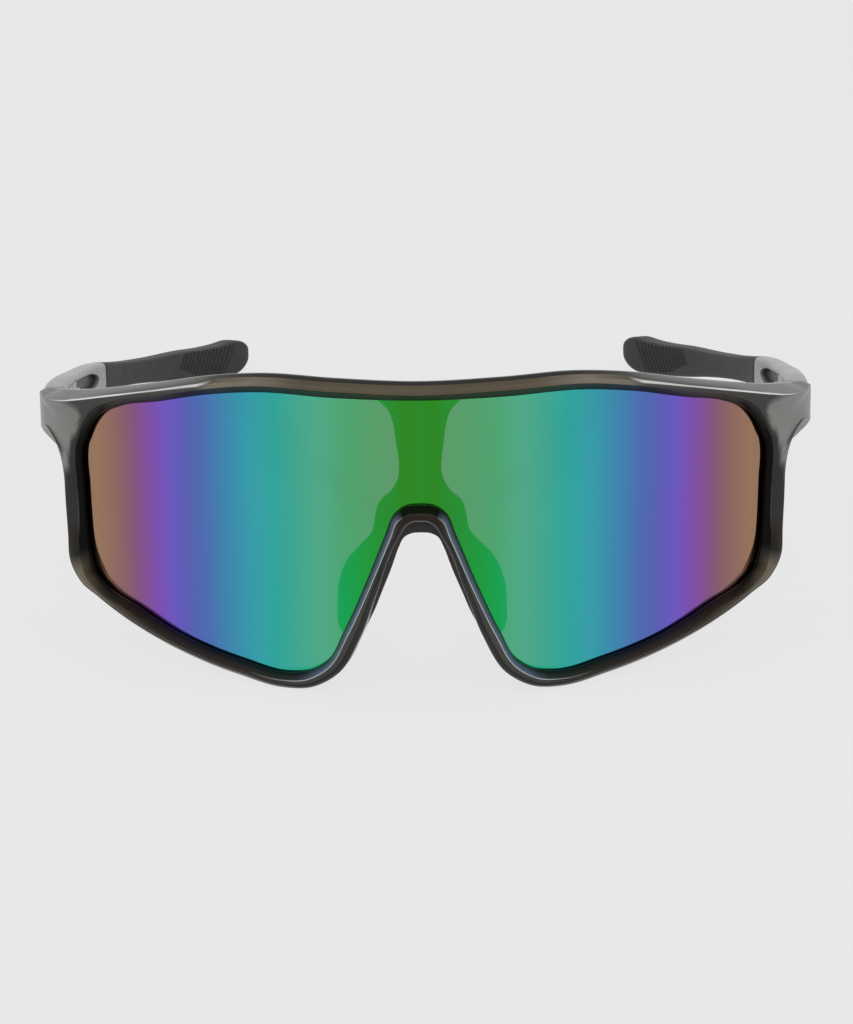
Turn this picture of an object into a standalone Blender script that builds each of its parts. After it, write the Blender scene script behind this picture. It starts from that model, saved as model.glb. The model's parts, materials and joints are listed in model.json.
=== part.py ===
"""Wrap-around sports sunglasses with one shield lens and two folding temples.

The pieces are drawn flat on a strip that runs from the middle of the lens out
to each temple tip, with u along the strip, z up and d outwards from the lens's
front face. The strip is then rolled: round the lens, tighter round the corner
of the face, and gently along the temple. Drawing frame: +X to the side, +Y to
the back of the head, +Z up, with the middle of the lens at the origin. The
whole is then pitched until it stands on the lower rim and the temple tips.
Lengths are in metres.
"""
import math

import bmesh
import bpy
from mathutils import Matrix, Vector

# The strip's bends, from the middle of the lens outwards
LENS_RADIUS = 0.085
LENS_ZONE = 0.0705
CORNER_RADIUS = 0.028
TEMPLE_RADIUS = 0.225
TEMPLE_HEADING = math.radians(86)

# Clearances
JOINT_GAP = 0.0003
TURNING_GAP = 0.0001
KNUCKLE_GAP = 0.0002
CUT_OVERRUN = 0.002
CUT_MERGE = 0.00001

# Lens and its opening in the frame
LENS_ARC = 0.0688
LENS_RISE = 0.0221
LENS_DROP = 0.0275
LENS_THICKNESS = 0.0020
GROOVE_DEPTH = 0.0011

# Rim widths, measured across the rim in the lens's surface
BROW_WIDTH = 0.0031
BROW_END_WIDTH = 0.0039
SIDE_WIDTH = 0.0043
LOWER_WIDTH = 0.0028
FOOT_WIDTH = 0.0025
NOSE_WIDTH = 0.0020
ARCH_WIDTH = 0.0030

# Rim depths: in front of the lens's face, and behind it
LIP_DEPTH = 0.0009
RIDGE_DEPTH = 0.0030
EDGE_DEPTH = 0.0018
BACK_DEPTH = 0.0033
INNER_BEVEL = 0.0012
BROW_BEVEL = 0.0018
EDGE_CHAMFER = 0.0006
CREASE_INSET = 0.0022

# Endpieces, which carry the hinges
ENDPIECE_LENGTH = 0.0172
ENDPIECE_REACH = LENS_ARC + ENDPIECE_LENGTH
ENDPIECE_TOP = 0.0181
ENDPIECE_BOTTOM = 0.0098
ENDPIECE_BACK = 0.0024

# Hinges
HINGE_HEIGHT = 0.0133
AXIS_DEPTH = 0.0042
BARREL_RADIUS = 0.0015
BARREL_LENGTH = 0.0050
PIN_RADIUS = 0.0007
PIN_HEAD_RADIUS = 0.0012
PIN_HEAD_LENGTH = 0.0006
LEAF_THICKNESS = 0.0010
LEAF_HEIGHT = 0.0044
FRAME_LEAF_LENGTH = 0.0098
TEMPLE_LEAF_LENGTH = 0.0190
RECESS_DEPTH = 0.0015

# Hinge screws that hold the leaves
SCREW_HEAD_RADIUS = 0.0011
SCREW_HEAD_LENGTH = 0.0006
SCREW_SHANK_RADIUS = 0.0005
SCREW_SHANK_LENGTH = 0.0030
SCREW_CLEARANCE = 0.0002
SCREW_EDGE = 0.0020
FRAME_SCREW_PITCH = 0.0042
TEMPLE_SCREW_PITCH = 0.0070

# Temples
TEMPLE_LENGTH = 0.1275
TEMPLE_CENTRE = 0.0134
TEMPLE_FALL = 0.0079
TEMPLE_HEIGHT = 0.0078
TEMPLE_THICKNESS = 0.0048
POCKET_START = 0.0090
POCKET_LENGTH = 0.0340
POCKET_BORDER = 0.0012
POCKET_DEPTH = 0.0017
SLEEVE_START = 0.0485
SLEEVE_PROUD = 0.0003
SLEEVE_WALL = 0.0009
TANG_LENGTH = 0.0560
TIP_ROUNDING = 0.0080

# Nose bridge behind the lens, and its two pads
BRIDGE_THICKNESS = 0.0020
BRIDGE_TOP_WIDTH = 0.0152
BRIDGE_BAR_WIDTH = 0.0088
BRIDGE_LAP = 0.0022
NECK_TOP = 0.0140
NECK_BOTTOM = 0.0056
SHOULDER_HEIGHT = 0.0030
LEG_WIDTH = 0.0050
LEG_STEP = 0.0006
ARCH_STEP = 0.0030
PAD_HEIGHT = 0.0168
PAD_CENTRE = -0.0130
PAD_DEPTH = 0.0064
PAD_THICKNESS = 0.0028
PAD_SPREAD = 0.0050

# Small flats that the glasses stand on
FLAT_DEPTH = 0.0004

# Fineness of the faceted surfaces
SPAN_STEPS = 2
STRIP_STEP = 0.0045
ROUND_SIDES = 16
SECTION_SIDES = 16

TEMPLE_STEP = 0.0060
PROFILE_STEPS = 4
PITCH_HALVINGS = 40
FLATNESS = math.radians(0.1)

# Colours
SMOKE = (0.090, 0.083, 0.070, 1.0)
LENS_TINT = (0.050, 0.380, 0.360, 1.0)
RUBBER_GREY = (0.055, 0.055, 0.055, 1.0)
STEEL = (0.560, 0.560, 0.550, 1.0)

# One row for each place round the lens opening, from the top middle down the
# side to the nose. Shares: along LENS_ARC, and of LENS_RISE above the middle
# line or LENS_DROP below it.
OPENING_SHARES = (
    (0.000, 0.950), (0.218, 0.973), (0.407, 1.000), (0.552, 0.950),
    (0.703, 0.869), (0.843, 0.792), (0.930, 0.679), (0.967, 0.552),
    (0.984, 0.475), (0.996, 0.407), (1.000, 0.339), (0.999, 0.226),
    (0.994, 0.113), (0.991, 0.000), (0.988, -0.109), (0.983, -0.255),
    (0.971, -0.400), (0.952, -0.502), (0.919, -0.567), (0.814, -0.676),
    (0.654, -0.822), (0.480, -0.927), (0.349, -1.000), (0.288, -0.985),
    (0.243, -0.916), (0.196, -0.709), (0.145, -0.429), (0.089, -0.087),
    (0.067, 0.054), (0.035, 0.131), (0.000, 0.145),
)

# The rim's width at the rows that have no endpiece, by row number
RIM_WIDTHS = (
    (0, BROW_WIDTH), (1, BROW_WIDTH), (2, BROW_WIDTH), (3, BROW_WIDTH),
    (4, BROW_END_WIDTH), (5, BROW_END_WIDTH), (14, SIDE_WIDTH), (15, SIDE_WIDTH),
    (16, SIDE_WIDTH), (17, (SIDE_WIDTH + LOWER_WIDTH) / 2), (18, LOWER_WIDTH), (19, LOWER_WIDTH),
    (20, LOWER_WIDTH), (21, LOWER_WIDTH), (22, FOOT_WIDTH), (23, FOOT_WIDTH),
    (24, FOOT_WIDTH), (25, NOSE_WIDTH), (26, NOSE_WIDTH), (27, NOSE_WIDTH),
    (28, ARCH_WIDTH), (29, ARCH_WIDTH), (30, ARCH_WIDTH),
)

# The endpiece's outline by row number. Shares: of its length from LENS_ARC to
# ENDPIECE_REACH, and of the height from ENDPIECE_BOTTOM up to ENDPIECE_TOP.
ENDPIECE_SHARES = (
    (6, 0.075, 1.131), (7, 0.650, 1.000), (8, 1.000, 0.847), (9, 1.000, 0.400),
    (10, 1.000, 0.022), (11, 0.650, 0.006), (12, 0.330, -0.170),
    (13, 0.180, -0.550),
)

# How far the outer crease lies from the outer edge as a share of CREASE_INSET,
# and how deep the edge lies as a share of EDGE_DEPTH, by row number; the rows
# between are blended.
CREASE_SHARES = (
    (0, 0.650), (3, 0.650), (4, 0.800), (5, 0.870), (6, 1.000), (7, 1.000),
    (8, 0.450), (9, 0.360), (16, 0.360), (19, 0.280), (30, 0.280),
)
EDGE_SHARES = (
    (0, 1.000), (2, 0.800), (4, 0.300), (5, -0.100), (7, -0.200), (8, 0.600),
    (9, 1.300), (10, 1.000), (14, 1.000), (30, 1.000),
)

# Temple profile. Shares: along TEMPLE_LENGTH, of TEMPLE_FALL down from
# TEMPLE_CENTRE, of TEMPLE_HEIGHT, and of TEMPLE_THICKNESS.
TEMPLE_SHARES = (
    (0.000, 0.000, 1.000, 1.000), (0.050, -0.006, 1.051, 1.000),
    (0.110, -0.028, 0.994, 1.000), (0.230, -0.025, 0.859, 0.860),
    (0.345, 0.021, 0.752, 0.720), (0.430, 0.151, 0.616, 0.720),
    (0.525, 0.317, 0.550, 0.750), (0.635, 0.526, 0.616, 0.800),
    (0.775, 0.817, 0.872, 0.900), (0.860, 0.951, 0.959, 0.980),
    (0.925, 1.051, 1.024, 1.000), (1.000, 1.091, 1.046, 1.000),
)

# Where the leaf screws sit along the strip
FRAME_SCREW_PLACES = (
    ENDPIECE_REACH - FRAME_LEAF_LENGTH + SCREW_EDGE,
    ENDPIECE_REACH - FRAME_LEAF_LENGTH + SCREW_EDGE + FRAME_SCREW_PITCH,
)
TEMPLE_SCREW_PLACES = (
    ENDPIECE_REACH + TEMPLE_LEAF_LENGTH - SCREW_EDGE - TEMPLE_SCREW_PITCH,
    ENDPIECE_REACH + TEMPLE_LEAF_LENGTH - SCREW_EDGE,
)

# Places along the pocket, with its middle at 0 and its ends at 1
POCKET_PLACE_SHARES = (-0.99, -0.9, -0.7, -0.35, 0, 0.35, 0.7, 0.9, 0.99)

# Places along the temple's rounded tip, from where it starts to its end
TIP_SHARES = (0.35, 0.6, 0.8, 0.93, 0.99)

# How far a temple section's corners fill its box: 1 is an ellipse, 0 a box
SECTION_SQUARENESS = 0.55

# A nose pad's levels from its middle, how much its ends shrink, and its
# section as shares of half its thickness across and its depth to the back
PAD_LEVEL_SHARES = (-1, -0.88, -0.65, -0.25, 0.25, 0.65, 0.88, 1)
PAD_END_SHARE = 0.86
PAD_SECTION_SHARES = (
    (1.00, 0.00), (0.95, 0.35), (0.85, 0.70), (0.50, 0.93),
    (0.00, 1.00), (-0.45, 0.90), (-0.75, 0.70), (-0.90, 0.35), (-1.00, 0.00),
)

# The opening's first row beside the nose, and the last below the arch
NOSE_ROWS = (25, 26.5)

# The arch of the nose bridge, as shares of its half width and of its height
BRIDGE_ARCH_SHARES = ((0.75, 0.62), (0.56, 0.87), (0.30, 0.98), (0, 1))


def unit(angle):
    """Return the plan direction that points out of the strip at a heading."""
    return Vector((math.sin(angle), -math.cos(angle)))


def strip_frame(u):
    """Return the strip's plan point and heading at u, on the +X side."""
    corner_length = CORNER_RADIUS * (TEMPLE_HEADING - LENS_ZONE / LENS_RADIUS)
    arcs = (
        (LENS_RADIUS, LENS_ZONE),
        (CORNER_RADIUS, corner_length),
        (TEMPLE_RADIUS, math.inf),
    )
    point = Vector((0, 0))
    heading = 0
    for radius, length in arcs:
        centre = point - radius * unit(heading)
        step = min(u, length)
        heading += step / radius
        point = centre + radius * unit(heading)
        u -= step
        if u <= 0:
            break
    return point, heading


def wrap(u, z, d):
    """Roll a point of the flat strip into place."""
    point, heading = strip_frame(abs(u))
    x, y = point + d * unit(heading)
    return Vector((math.copysign(x, u) if u else 0, y, z))


def spline(points, steps, closed):
    """Return points along a smooth curve through rows of numbers."""
    rows = [Vector(row) for row in points]
    count = len(rows)
    if closed:
        before = [rows[index - 1] for index in range(count)]
        after = [rows[(index + 1) % count] for index in range(count)]
    else:
        before = [rows[0], *rows[:-1]]
        after = [*rows[1:], rows[-1]]
    slopes = []
    for last, here, following in zip(before, rows, after):
        near = (here - last).length
        far = (following - here).length
        if near and far:
            arriving = (here - last) / near
            leaving = (following - here) / far
            slopes.append((arriving * far + leaving * near) / (near + far))
        else:
            slopes.append((following - last) / (near + far))
    curve = []
    for index in range(count if closed else count - 1):
        end = (index + 1) % count
        span = (rows[end] - rows[index]).length
        for step in range(steps):
            t = step / steps
            rise = t * t * (3 - 2 * t)
            curve.append(
                rows[index].lerp(rows[end], rise)
                + slopes[index] * span * t * (1 - t) ** 2
                - slopes[end] * span * t * t * (1 - t)
            )
    if not closed:
        curve.append(rows[-1])
    return curve


def blend(table, place):
    """Read a table of (place, value) rows with straight steps between them."""
    for (start, low), (end, high) in zip(table, table[1:]):
        if place <= end:
            return low + (high - low) * max(0, place - start) / (end - start)
    return table[-1][1]


def new_material(name, colour, roughness, metallic):
    """Make a Principled material."""
    material = bpy.data.materials.new(name)
    material.use_nodes = True
    shader = material.node_tree.nodes["Principled BSDF"]
    shader.inputs["Base Color"].default_value = colour
    shader.inputs["Roughness"].default_value = roughness
    shader.inputs["Metallic"].default_value = metallic
    material.diffuse_color = colour
    return material


def new_object(name, bm, material, flip):
    """Turn a bmesh into an object, on the -X side where flip is set."""
    if flip:
        bmesh.ops.scale(bm, vec=(-1, 1, 1), verts=bm.verts)
    bmesh.ops.connect_verts_nonplanar(bm, angle_limit=FLATNESS, faces=bm.faces)
    bmesh.ops.recalc_face_normals(bm, faces=bm.faces)
    if bm.calc_volume(signed=True) < 0:
        bmesh.ops.reverse_faces(bm, faces=bm.faces)
    mesh = bpy.data.meshes.new(name)
    bm.to_mesh(mesh)
    bm.free()
    mesh.shade_smooth()
    mesh.set_sharp_from_angle(angle=math.radians(30))
    if material:
        mesh.materials.append(material)
    obj = bpy.data.objects.new(name, mesh)
    bpy.context.scene.collection.objects.link(obj)
    return obj


def combine(obj, name, bm, operation, flip):
    """Join a shape to an object, or cut it out, with a Boolean modifier."""
    tool = new_object(f"{obj.name}_{name}", bm, None, flip)
    tool.hide_render = True
    tool.display_type = "WIRE"
    modifier = obj.modifiers.new(name, "BOOLEAN")
    modifier.operation = operation
    modifier.solver = "EXACT"
    modifier.object = tool


def sweep(rings, capped):
    """Join rings of points into a skin; the last ring meets the first, or both are capped."""
    bm = bmesh.new()
    place = bm.verts.layers.int.new("place")
    verts = [bm.verts.new(point) for point in rings[0]]
    for index, vert in enumerate(verts):
        vert[place] = index
    edges = [bm.edges.new((verts[index - 1], vert)) for index, vert in enumerate(verts)]
    if capped:
        bm.faces.new(verts)
    following = rings[1:] if capped else [*rings[1:], rings[0]]
    for ring in following:
        made = bmesh.ops.extrude_edge_only(bm, edges=edges)["geom"]
        edges = [item for item in made if isinstance(item, bmesh.types.BMEdge)]
        verts = [item for item in made if isinstance(item, bmesh.types.BMVert)]
        for vert in verts:
            vert.co = ring[vert[place]]
    if capped:
        verts.sort(key=lambda vert: vert[place])
        bm.faces.new(verts)
    else:
        bmesh.ops.remove_doubles(bm, verts=bm.verts, dist=JOINT_GAP / ROUND_SIDES)
    return bm


def plate(outline, front, back):
    """Make a plate of a flat (u, z) outline between two depths, and roll it."""
    bm = bmesh.new()
    face = bm.faces.new([bm.verts.new((u, front, z)) for u, z in outline])
    low = min(u for u, _ in outline)
    high = max(u for u, _ in outline)
    strips = math.ceil((high - low) / STRIP_STEP)
    for index in range(1, strips):
        cut = low + (high - low) * index / strips
        parts = [*bm.verts, *bm.edges, *bm.faces]
        bmesh.ops.bisect_plane(
            bm, geom=parts, plane_co=(cut, front, 0), plane_no=(1, 0, 0), dist=CUT_MERGE,
        )
    made = bmesh.ops.extrude_face_region(bm, geom=bm.faces[:])["geom"]
    for item in made:
        if isinstance(item, bmesh.types.BMVert):
            item.co.y = back
    for vert in bm.verts:
        vert.co = wrap(vert.co.x, vert.co.z, vert.co.y)
    return bm


def strip_matrix(u, z, d):
    """Return the local axes at a strip point: outwards along the strip, outwards, up."""
    point = wrap(u, z, d)
    _, heading = strip_frame(abs(u))
    out = unit(heading)
    along = Vector((-out.y, out.x))
    return Matrix((
        (along.x, out.x, 0, point.x),
        (along.y, out.y, 0, point.y),
        (0, 0, 1, point.z),
        (0, 0, 0, 1),
    ))


def add_cylinder(bm, radius, low, high, matrix):
    """Add a closed cylinder that runs from low to high along the matrix's Z axis."""
    shift = Matrix.Translation((0, 0, (low + high) / 2))
    bmesh.ops.create_cone(
        bm, cap_ends=True, segments=ROUND_SIDES, radius1=radius, radius2=radius,
        depth=high - low, matrix=matrix @ shift,
    )


def turned(radii, matrix):
    """Make a closed turned shape from (distance, radius) rows along the matrix's Z axis."""
    rings = []
    for distance, radius in radii:
        ring = []
        for index in range(ROUND_SIDES):
            angle = math.tau * index / ROUND_SIDES
            ring.append(
                matrix @ Vector((radius * math.cos(angle), radius * math.sin(angle), distance))
            )
        rings.append(ring)
    return sweep(rings, capped=True)


def side_outlines():
    """Return the lens opening and the rim's outer edge as closed outlines.

    Each entry is (opening point, outer point, direction inwards from the outer
    edge, row number). The rows run down the +X side and back up the -X side.
    """
    half = []
    for along, height in OPENING_SHARES:
        scale = LENS_RISE if height > 0 else LENS_DROP
        half.append(Vector((along * LENS_ARC, height * scale)))
    last = len(half) - 1
    rows = [*range(last + 1), *range(last - 1, 0, -1)]
    signs = [1] * (last + 1) + [-1] * (last - 1)
    opening = [Vector((half[row].x * sign, half[row].y)) for row, sign in zip(rows, signs)]
    reach = ENDPIECE_REACH - JOINT_GAP / 2
    endpiece = {
        row: Vector((
            LENS_ARC + (reach - LENS_ARC) * along,
            ENDPIECE_BOTTOM + (ENDPIECE_TOP - ENDPIECE_BOTTOM) * height,
        ))
        for row, along, height in ENDPIECE_SHARES
    }
    outer = []
    for index, (row, sign) in enumerate(zip(rows, signs)):
        if row in endpiece:
            outer.append(Vector((endpiece[row].x * sign, endpiece[row].y)))
            continue
        tangent = opening[(index + 1) % len(opening)] - opening[index - 1]
        normal = Vector((-tangent.y, tangent.x)).normalized()
        outer.append(opening[index] + normal * blend(RIM_WIDTHS, row))
    inner_curve = spline(opening, SPAN_STEPS, closed=True)
    outer_curve = spline(outer, SPAN_STEPS, closed=True)
    for outside in outer_curve:
        outside.x = max(-reach, min(reach, outside.x))
    stations = []
    for index, (inside, outside) in enumerate(zip(inner_curve, outer_curve)):
        tangent = outer_curve[(index + 1) % len(outer_curve)] - outer_curve[index - 1]
        inwards = Vector((tangent.y, -tangent.x)).normalized()
        place = index / SPAN_STEPS
        row = place if place <= last else 2 * last - place
        stations.append((inside, outside, inwards, row))
    return stations


def rim_section(inside, outside, inwards, row):
    """Return the rim's section at one station as (u, z, d) points, from the lens outwards and back."""
    width = (outside - inside).length
    across = (outside - inside) / width
    on_endpiece = blend(((5, 0), (7, 1), (13, 1), (14, 0)), row)
    brow = blend(((0, 1), (5, 1), (7, 0), (30, 0)), row)
    bevel = INNER_BEVEL + (BROW_BEVEL - INNER_BEVEL) * brow
    inset = min(blend(CREASE_SHARES, row) * CREASE_INSET, width - bevel - EDGE_CHAMFER / 2)
    edge = blend(EDGE_SHARES, row) * EDGE_DEPTH
    back = BACK_DEPTH + (ENDPIECE_BACK - BACK_DEPTH) * on_endpiece
    ridge = inside + across * bevel
    crease = outside + inwards * inset
    front = [(inside, LIP_DEPTH), (ridge, RIDGE_DEPTH)]
    front.extend((ridge.lerp(crease, share), RIDGE_DEPTH) for share in (1 / 3, 2 / 3, 1))
    near = inside + across * EDGE_CHAMFER
    far = outside + inwards * EDGE_CHAMFER
    rear = [(outside, edge), (outside, EDGE_CHAMFER - back)]
    for share in (1, 2 / 3, 1 / 3, 0):
        rear.append((near.lerp(far, share), -BACK_DEPTH + (BACK_DEPTH - back) * share))
    rear.append((inside, EDGE_CHAMFER - BACK_DEPTH))
    behind = -LENS_THICKNESS - JOINT_GAP
    bottom = inside + across * GROOVE_DEPTH
    groove = [(inside, behind), (bottom, behind), (bottom, JOINT_GAP), (inside, JOINT_GAP)]
    return [(place.x, place.y, depth) for place, depth in (*front, *rear, *groove)]


def frame_front():
    """Make the rim and endpieces in one piece."""
    sections = [rim_section(*station) for station in side_outlines()]
    rings = []
    for index in range(len(sections[0])):
        rings.append([wrap(*section[index]) for section in sections])
    return sweep(rings, capped=False)


def shield_lens():
    """Make the lens, which fills the opening and sits in the rim's groove."""
    outline = []
    for inside, outside, _, _ in side_outlines():
        across = (outside - inside).normalized()
        place = inside + across * (GROOVE_DEPTH - JOINT_GAP)
        outline.append((place.x, place.y))
    return plate(outline, 0, -LENS_THICKNESS)


def nose_edge(step):
    """Return the rim's outer edge beside the nose, moved off it by a step, from the foot up."""
    edge = []
    for inside, outside, _, row in side_outlines():
        if NOSE_ROWS[0] <= row <= NOSE_ROWS[1] and inside.x > 0:
            across = (outside - inside).normalized()
            edge.append(outside + across * step)
    return edge


def nose_bridge():
    """Make the bar behind the lens, which forks into two legs behind the nose rim."""
    brow_line = OPENING_SHARES[0][1] * LENS_RISE
    bar = BRIDGE_BAR_WIDTH / 2
    top = BRIDGE_TOP_WIDTH / 2
    outer_legs = nose_edge(LEG_STEP - LEG_WIDTH)
    outer_legs.reverse()
    side = [
        (top, brow_line), ((top + bar) / 2, (brow_line + NECK_TOP) / 2), (bar, NECK_TOP),
        (bar, NECK_BOTTOM), (top, SHOULDER_HEIGHT), outer_legs[0],
    ]
    inner_legs = nose_edge(LEG_STEP)
    knee = inner_legs[-1]
    crown = max(outside.y for _, outside, _, row in side_outlines() if row > NOSE_ROWS[1]) - ARCH_STEP
    half = [Vector((top, brow_line + BRIDGE_LAP))]
    half.extend(spline(side, SPAN_STEPS, closed=False)[:-1])
    half.extend(outer_legs)
    half.extend(inner_legs)
    for across, rise in BRIDGE_ARCH_SHARES:
        half.append(Vector((knee.x * across, knee.y + (crown - knee.y) * rise)))
    outline = [(point.x, point.y) for point in half]
    outline.extend((-point.x, point.y) for point in reversed(half[:-1]))
    front = -BACK_DEPTH - JOINT_GAP
    return plate(outline, front, front - BRIDGE_THICKNESS)


def leg_centre(height):
    """Return the strip position of a bridge leg's middle at a height."""
    middle = nose_edge(LEG_STEP - LEG_WIDTH / 2)
    foot = middle[0]
    knee = middle[-1]
    return foot.x + (knee.x - foot.x) * (height - foot.y) / (knee.y - foot.y)


def nose_pad():
    """Make the +X nose pad, a soft wing that runs back and outwards from its leg."""
    front = -BACK_DEPTH - BRIDGE_THICKNESS - 2 * JOINT_GAP
    half = PAD_THICKNESS / 2
    rings = []
    for level in PAD_LEVEL_SHARES:
        size = math.sqrt(1 - level ** 2 * PAD_END_SHARE)
        height = PAD_CENTRE + level * PAD_HEIGHT / 2
        middle = leg_centre(height)
        depth = PAD_DEPTH * size
        ring = []
        for across, back in PAD_SECTION_SHARES:
            u = middle + half * across * size + PAD_SPREAD * size * back
            ring.append(wrap(u, height, front - depth * back))
        rings.append(ring)
    return sweep(rings, capped=True)


def temple_profile(distance):
    """Return the temple's centre height, half height and half thickness at a distance from the hinge."""
    share = distance / TEMPLE_LENGTH
    rows = spline(TEMPLE_SHARES, PROFILE_STEPS, closed=False)
    centre = TEMPLE_CENTRE - TEMPLE_FALL * blend([(row[0], row[1]) for row in rows], share)
    height = TEMPLE_HEIGHT * blend([(row[0], row[2]) for row in rows], share)
    thickness = TEMPLE_THICKNESS * blend([(row[0], row[3]) for row in rows], share)
    return centre, height / 2, thickness / 2


def temple_ring(distance, grow, size=1):
    """Return a temple section, grown all round and then scaled, as placed points."""
    centre, half_height, half_thickness = temple_profile(distance)
    ring = []
    for index in range(SECTION_SIDES):
        angle = math.tau * (index + 1 / 2) / SECTION_SIDES
        across = math.copysign(abs(math.cos(angle)) ** SECTION_SQUARENESS, math.cos(angle))
        up = math.copysign(abs(math.sin(angle)) ** SECTION_SQUARENESS, math.sin(angle))
        z = centre + up * (half_height + grow) * size
        d = across * (half_thickness + grow) * size
        ring.append(wrap(ENDPIECE_REACH + distance, z, d))
    return ring


def stretch(start, end):
    """Return evenly spaced distances from start to end."""
    steps = max(1, math.ceil(abs(end - start) / TEMPLE_STEP))
    return [start + (end - start) * index / steps for index in range(steps + 1)]


def temple_arm():
    """Make the +X arm: a stiff front part and the thin tang that the sleeve hides."""
    shoulder = SLEEVE_START - JOINT_GAP
    tang = SLEEVE_PROUD - SLEEVE_WALL - JOINT_GAP
    rings = [temple_ring(place, 0) for place in stretch(JOINT_GAP / 2, shoulder)]
    rings.extend(temple_ring(place, tang) for place in stretch(shoulder, SLEEVE_START + TANG_LENGTH))
    return sweep(rings, capped=True)


def temple_sleeve():
    """Make the +X sleeve, which is bored for the tang and closed at the rounded tip."""
    bore_end = SLEEVE_START + TANG_LENGTH + JOINT_GAP
    rounding = TEMPLE_LENGTH - TIP_ROUNDING
    rings = [temple_ring(place, SLEEVE_PROUD - SLEEVE_WALL) for place in stretch(bore_end, SLEEVE_START)]
    rings.extend(temple_ring(place, SLEEVE_PROUD) for place in stretch(SLEEVE_START, rounding))
    for share in TIP_SHARES:
        size = math.sqrt(1 - share ** 2)
        rings.append(temple_ring(rounding + TIP_ROUNDING * share, SLEEVE_PROUD, size))
    return sweep(rings, capped=True)


def temple_pocket():
    """Make the shape that hollows the arm's inner side behind the hinge."""
    floor = POCKET_DEPTH - ENDPIECE_BACK
    mouth = -ENDPIECE_BACK - CUT_OVERRUN
    rings = []
    for share in POCKET_PLACE_SHARES:
        distance = POCKET_START + POCKET_LENGTH * (1 + share) / 2
        centre, half_height, _ = temple_profile(distance)
        opening = (half_height - POCKET_BORDER) * math.sqrt(1 - abs(share) ** 3)
        u = ENDPIECE_REACH + distance
        corners = ((1, floor), (1, mouth), (-1, mouth), (-1, floor))
        rings.append([wrap(u, centre + opening * side, depth) for side, depth in corners])
    return sweep(rings, capped=True)


def strip_box(near, far, height, shallow, deep):
    """Make a rolled block about the hinge's height between two places and two depths."""
    low = HINGE_HEIGHT - height / 2
    high = HINGE_HEIGHT + height / 2
    outline = [(near, low), (far, low), (far, high), (near, high)]
    return plate(outline, shallow, deep)


def leaf_seat(length, height, side):
    """Make the cutter for a leaf's seat, on the hinge's +1 temple side or -1 frame side."""
    near = ENDPIECE_REACH - side * CUT_OVERRUN
    far = ENDPIECE_REACH + side * (length + JOINT_GAP)
    floor = RECESS_DEPTH - ENDPIECE_BACK
    return strip_box(near, far, height + 2 * JOINT_GAP, floor, -ENDPIECE_BACK - CUT_OVERRUN)


def leaf(length, side):
    """Make a hinge leaf's flat part."""
    near = ENDPIECE_REACH + side * JOINT_GAP * 3 / 2
    far = ENDPIECE_REACH + side * length
    outside = RECESS_DEPTH - ENDPIECE_BACK - JOINT_GAP
    return strip_box(near, far, LEAF_HEIGHT, outside, outside - LEAF_THICKNESS)


def axis_matrix():
    """Return the +X hinge axis's local axes."""
    return strip_matrix(ENDPIECE_REACH, HINGE_HEIGHT, -AXIS_DEPTH)


def knuckle(low, high, side):
    """Make a barrel with the web that joins it to its leaf, between two heights."""
    top = AXIS_DEPTH - ENDPIECE_BACK + RECESS_DEPTH - JOINT_GAP - LEAF_THICKNESS / 2
    start = math.asin(JOINT_GAP / BARREL_RADIUS)
    outline = [(JOINT_GAP, top)]
    for index in range(ROUND_SIDES):
        angle = start - index * (start + 3 * math.pi / 2) / (ROUND_SIDES - 1)
        outline.append((BARREL_RADIUS * math.sin(angle), BARREL_RADIUS * math.cos(angle)))
    outline.append((BARREL_RADIUS, top))
    matrix = axis_matrix()
    rings = []
    for height in (low, high):
        rings.append([matrix @ Vector((along * side, out, height)) for along, out in outline])
    return sweep(rings, capped=True)


def add_knuckles(obj, spans, side, flip):
    """Join knuckles to a leaf and bore them for the pin."""
    for index, (low, high) in enumerate(spans):
        combine(obj, f"knuckle_{index}", knuckle(low, high, side), "UNION", flip)
    bore = bmesh.new()
    reach = BARREL_LENGTH / 2 + CUT_OVERRUN
    add_cylinder(bore, PIN_RADIUS + TURNING_GAP, -reach, reach, axis_matrix())
    combine(obj, "pin_bore", bore, "DIFFERENCE", flip)


def screw_matrix(place):
    """Return the axes of a leaf screw, with Z inwards from the leaf's inner face."""
    inside = RECESS_DEPTH - ENDPIECE_BACK - JOINT_GAP - LEAF_THICKNESS
    return strip_matrix(place, HINGE_HEIGHT, inside) @ Matrix.Rotation(math.pi / 2, 4, "X")


def drill(obj, places, flip):
    """Drill the holes for leaf screws on one side."""
    side_name = "left" if flip else "right"
    for index, place in enumerate(places, start=1):
        hole = bmesh.new()
        add_cylinder(
            hole, SCREW_SHANK_RADIUS + SCREW_CLEARANCE, -SCREW_SHANK_LENGTH - JOINT_GAP,
            LEAF_THICKNESS, screw_matrix(place),
        )
        combine(obj, f"hole_{side_name}_{index}", hole, "DIFFERENCE", flip)


def leaf_screw(place):
    """Make a screw that holds a leaf."""
    head = JOINT_GAP + SCREW_HEAD_LENGTH
    return turned(
        (
            (-SCREW_SHANK_LENGTH, SCREW_SHANK_RADIUS), (JOINT_GAP, SCREW_SHANK_RADIUS),
            (JOINT_GAP, SCREW_HEAD_RADIUS), (head - SCREW_CLEARANCE, SCREW_HEAD_RADIUS),
            (head, SCREW_HEAD_RADIUS - SCREW_CLEARANCE),
        ),
        screw_matrix(place),
    )


def hinge_pin():
    """Make the headed pin that the temple turns on."""
    top = BARREL_LENGTH / 2 + JOINT_GAP
    return turned(
        (
            (-BARREL_LENGTH / 2, PIN_RADIUS), (top, PIN_RADIUS), (top, PIN_HEAD_RADIUS),
            (top + PIN_HEAD_LENGTH - TURNING_GAP, PIN_HEAD_RADIUS),
            (top + PIN_HEAD_LENGTH, PIN_HEAD_RADIUS - TURNING_GAP),
        ),
        axis_matrix(),
    )


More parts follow.
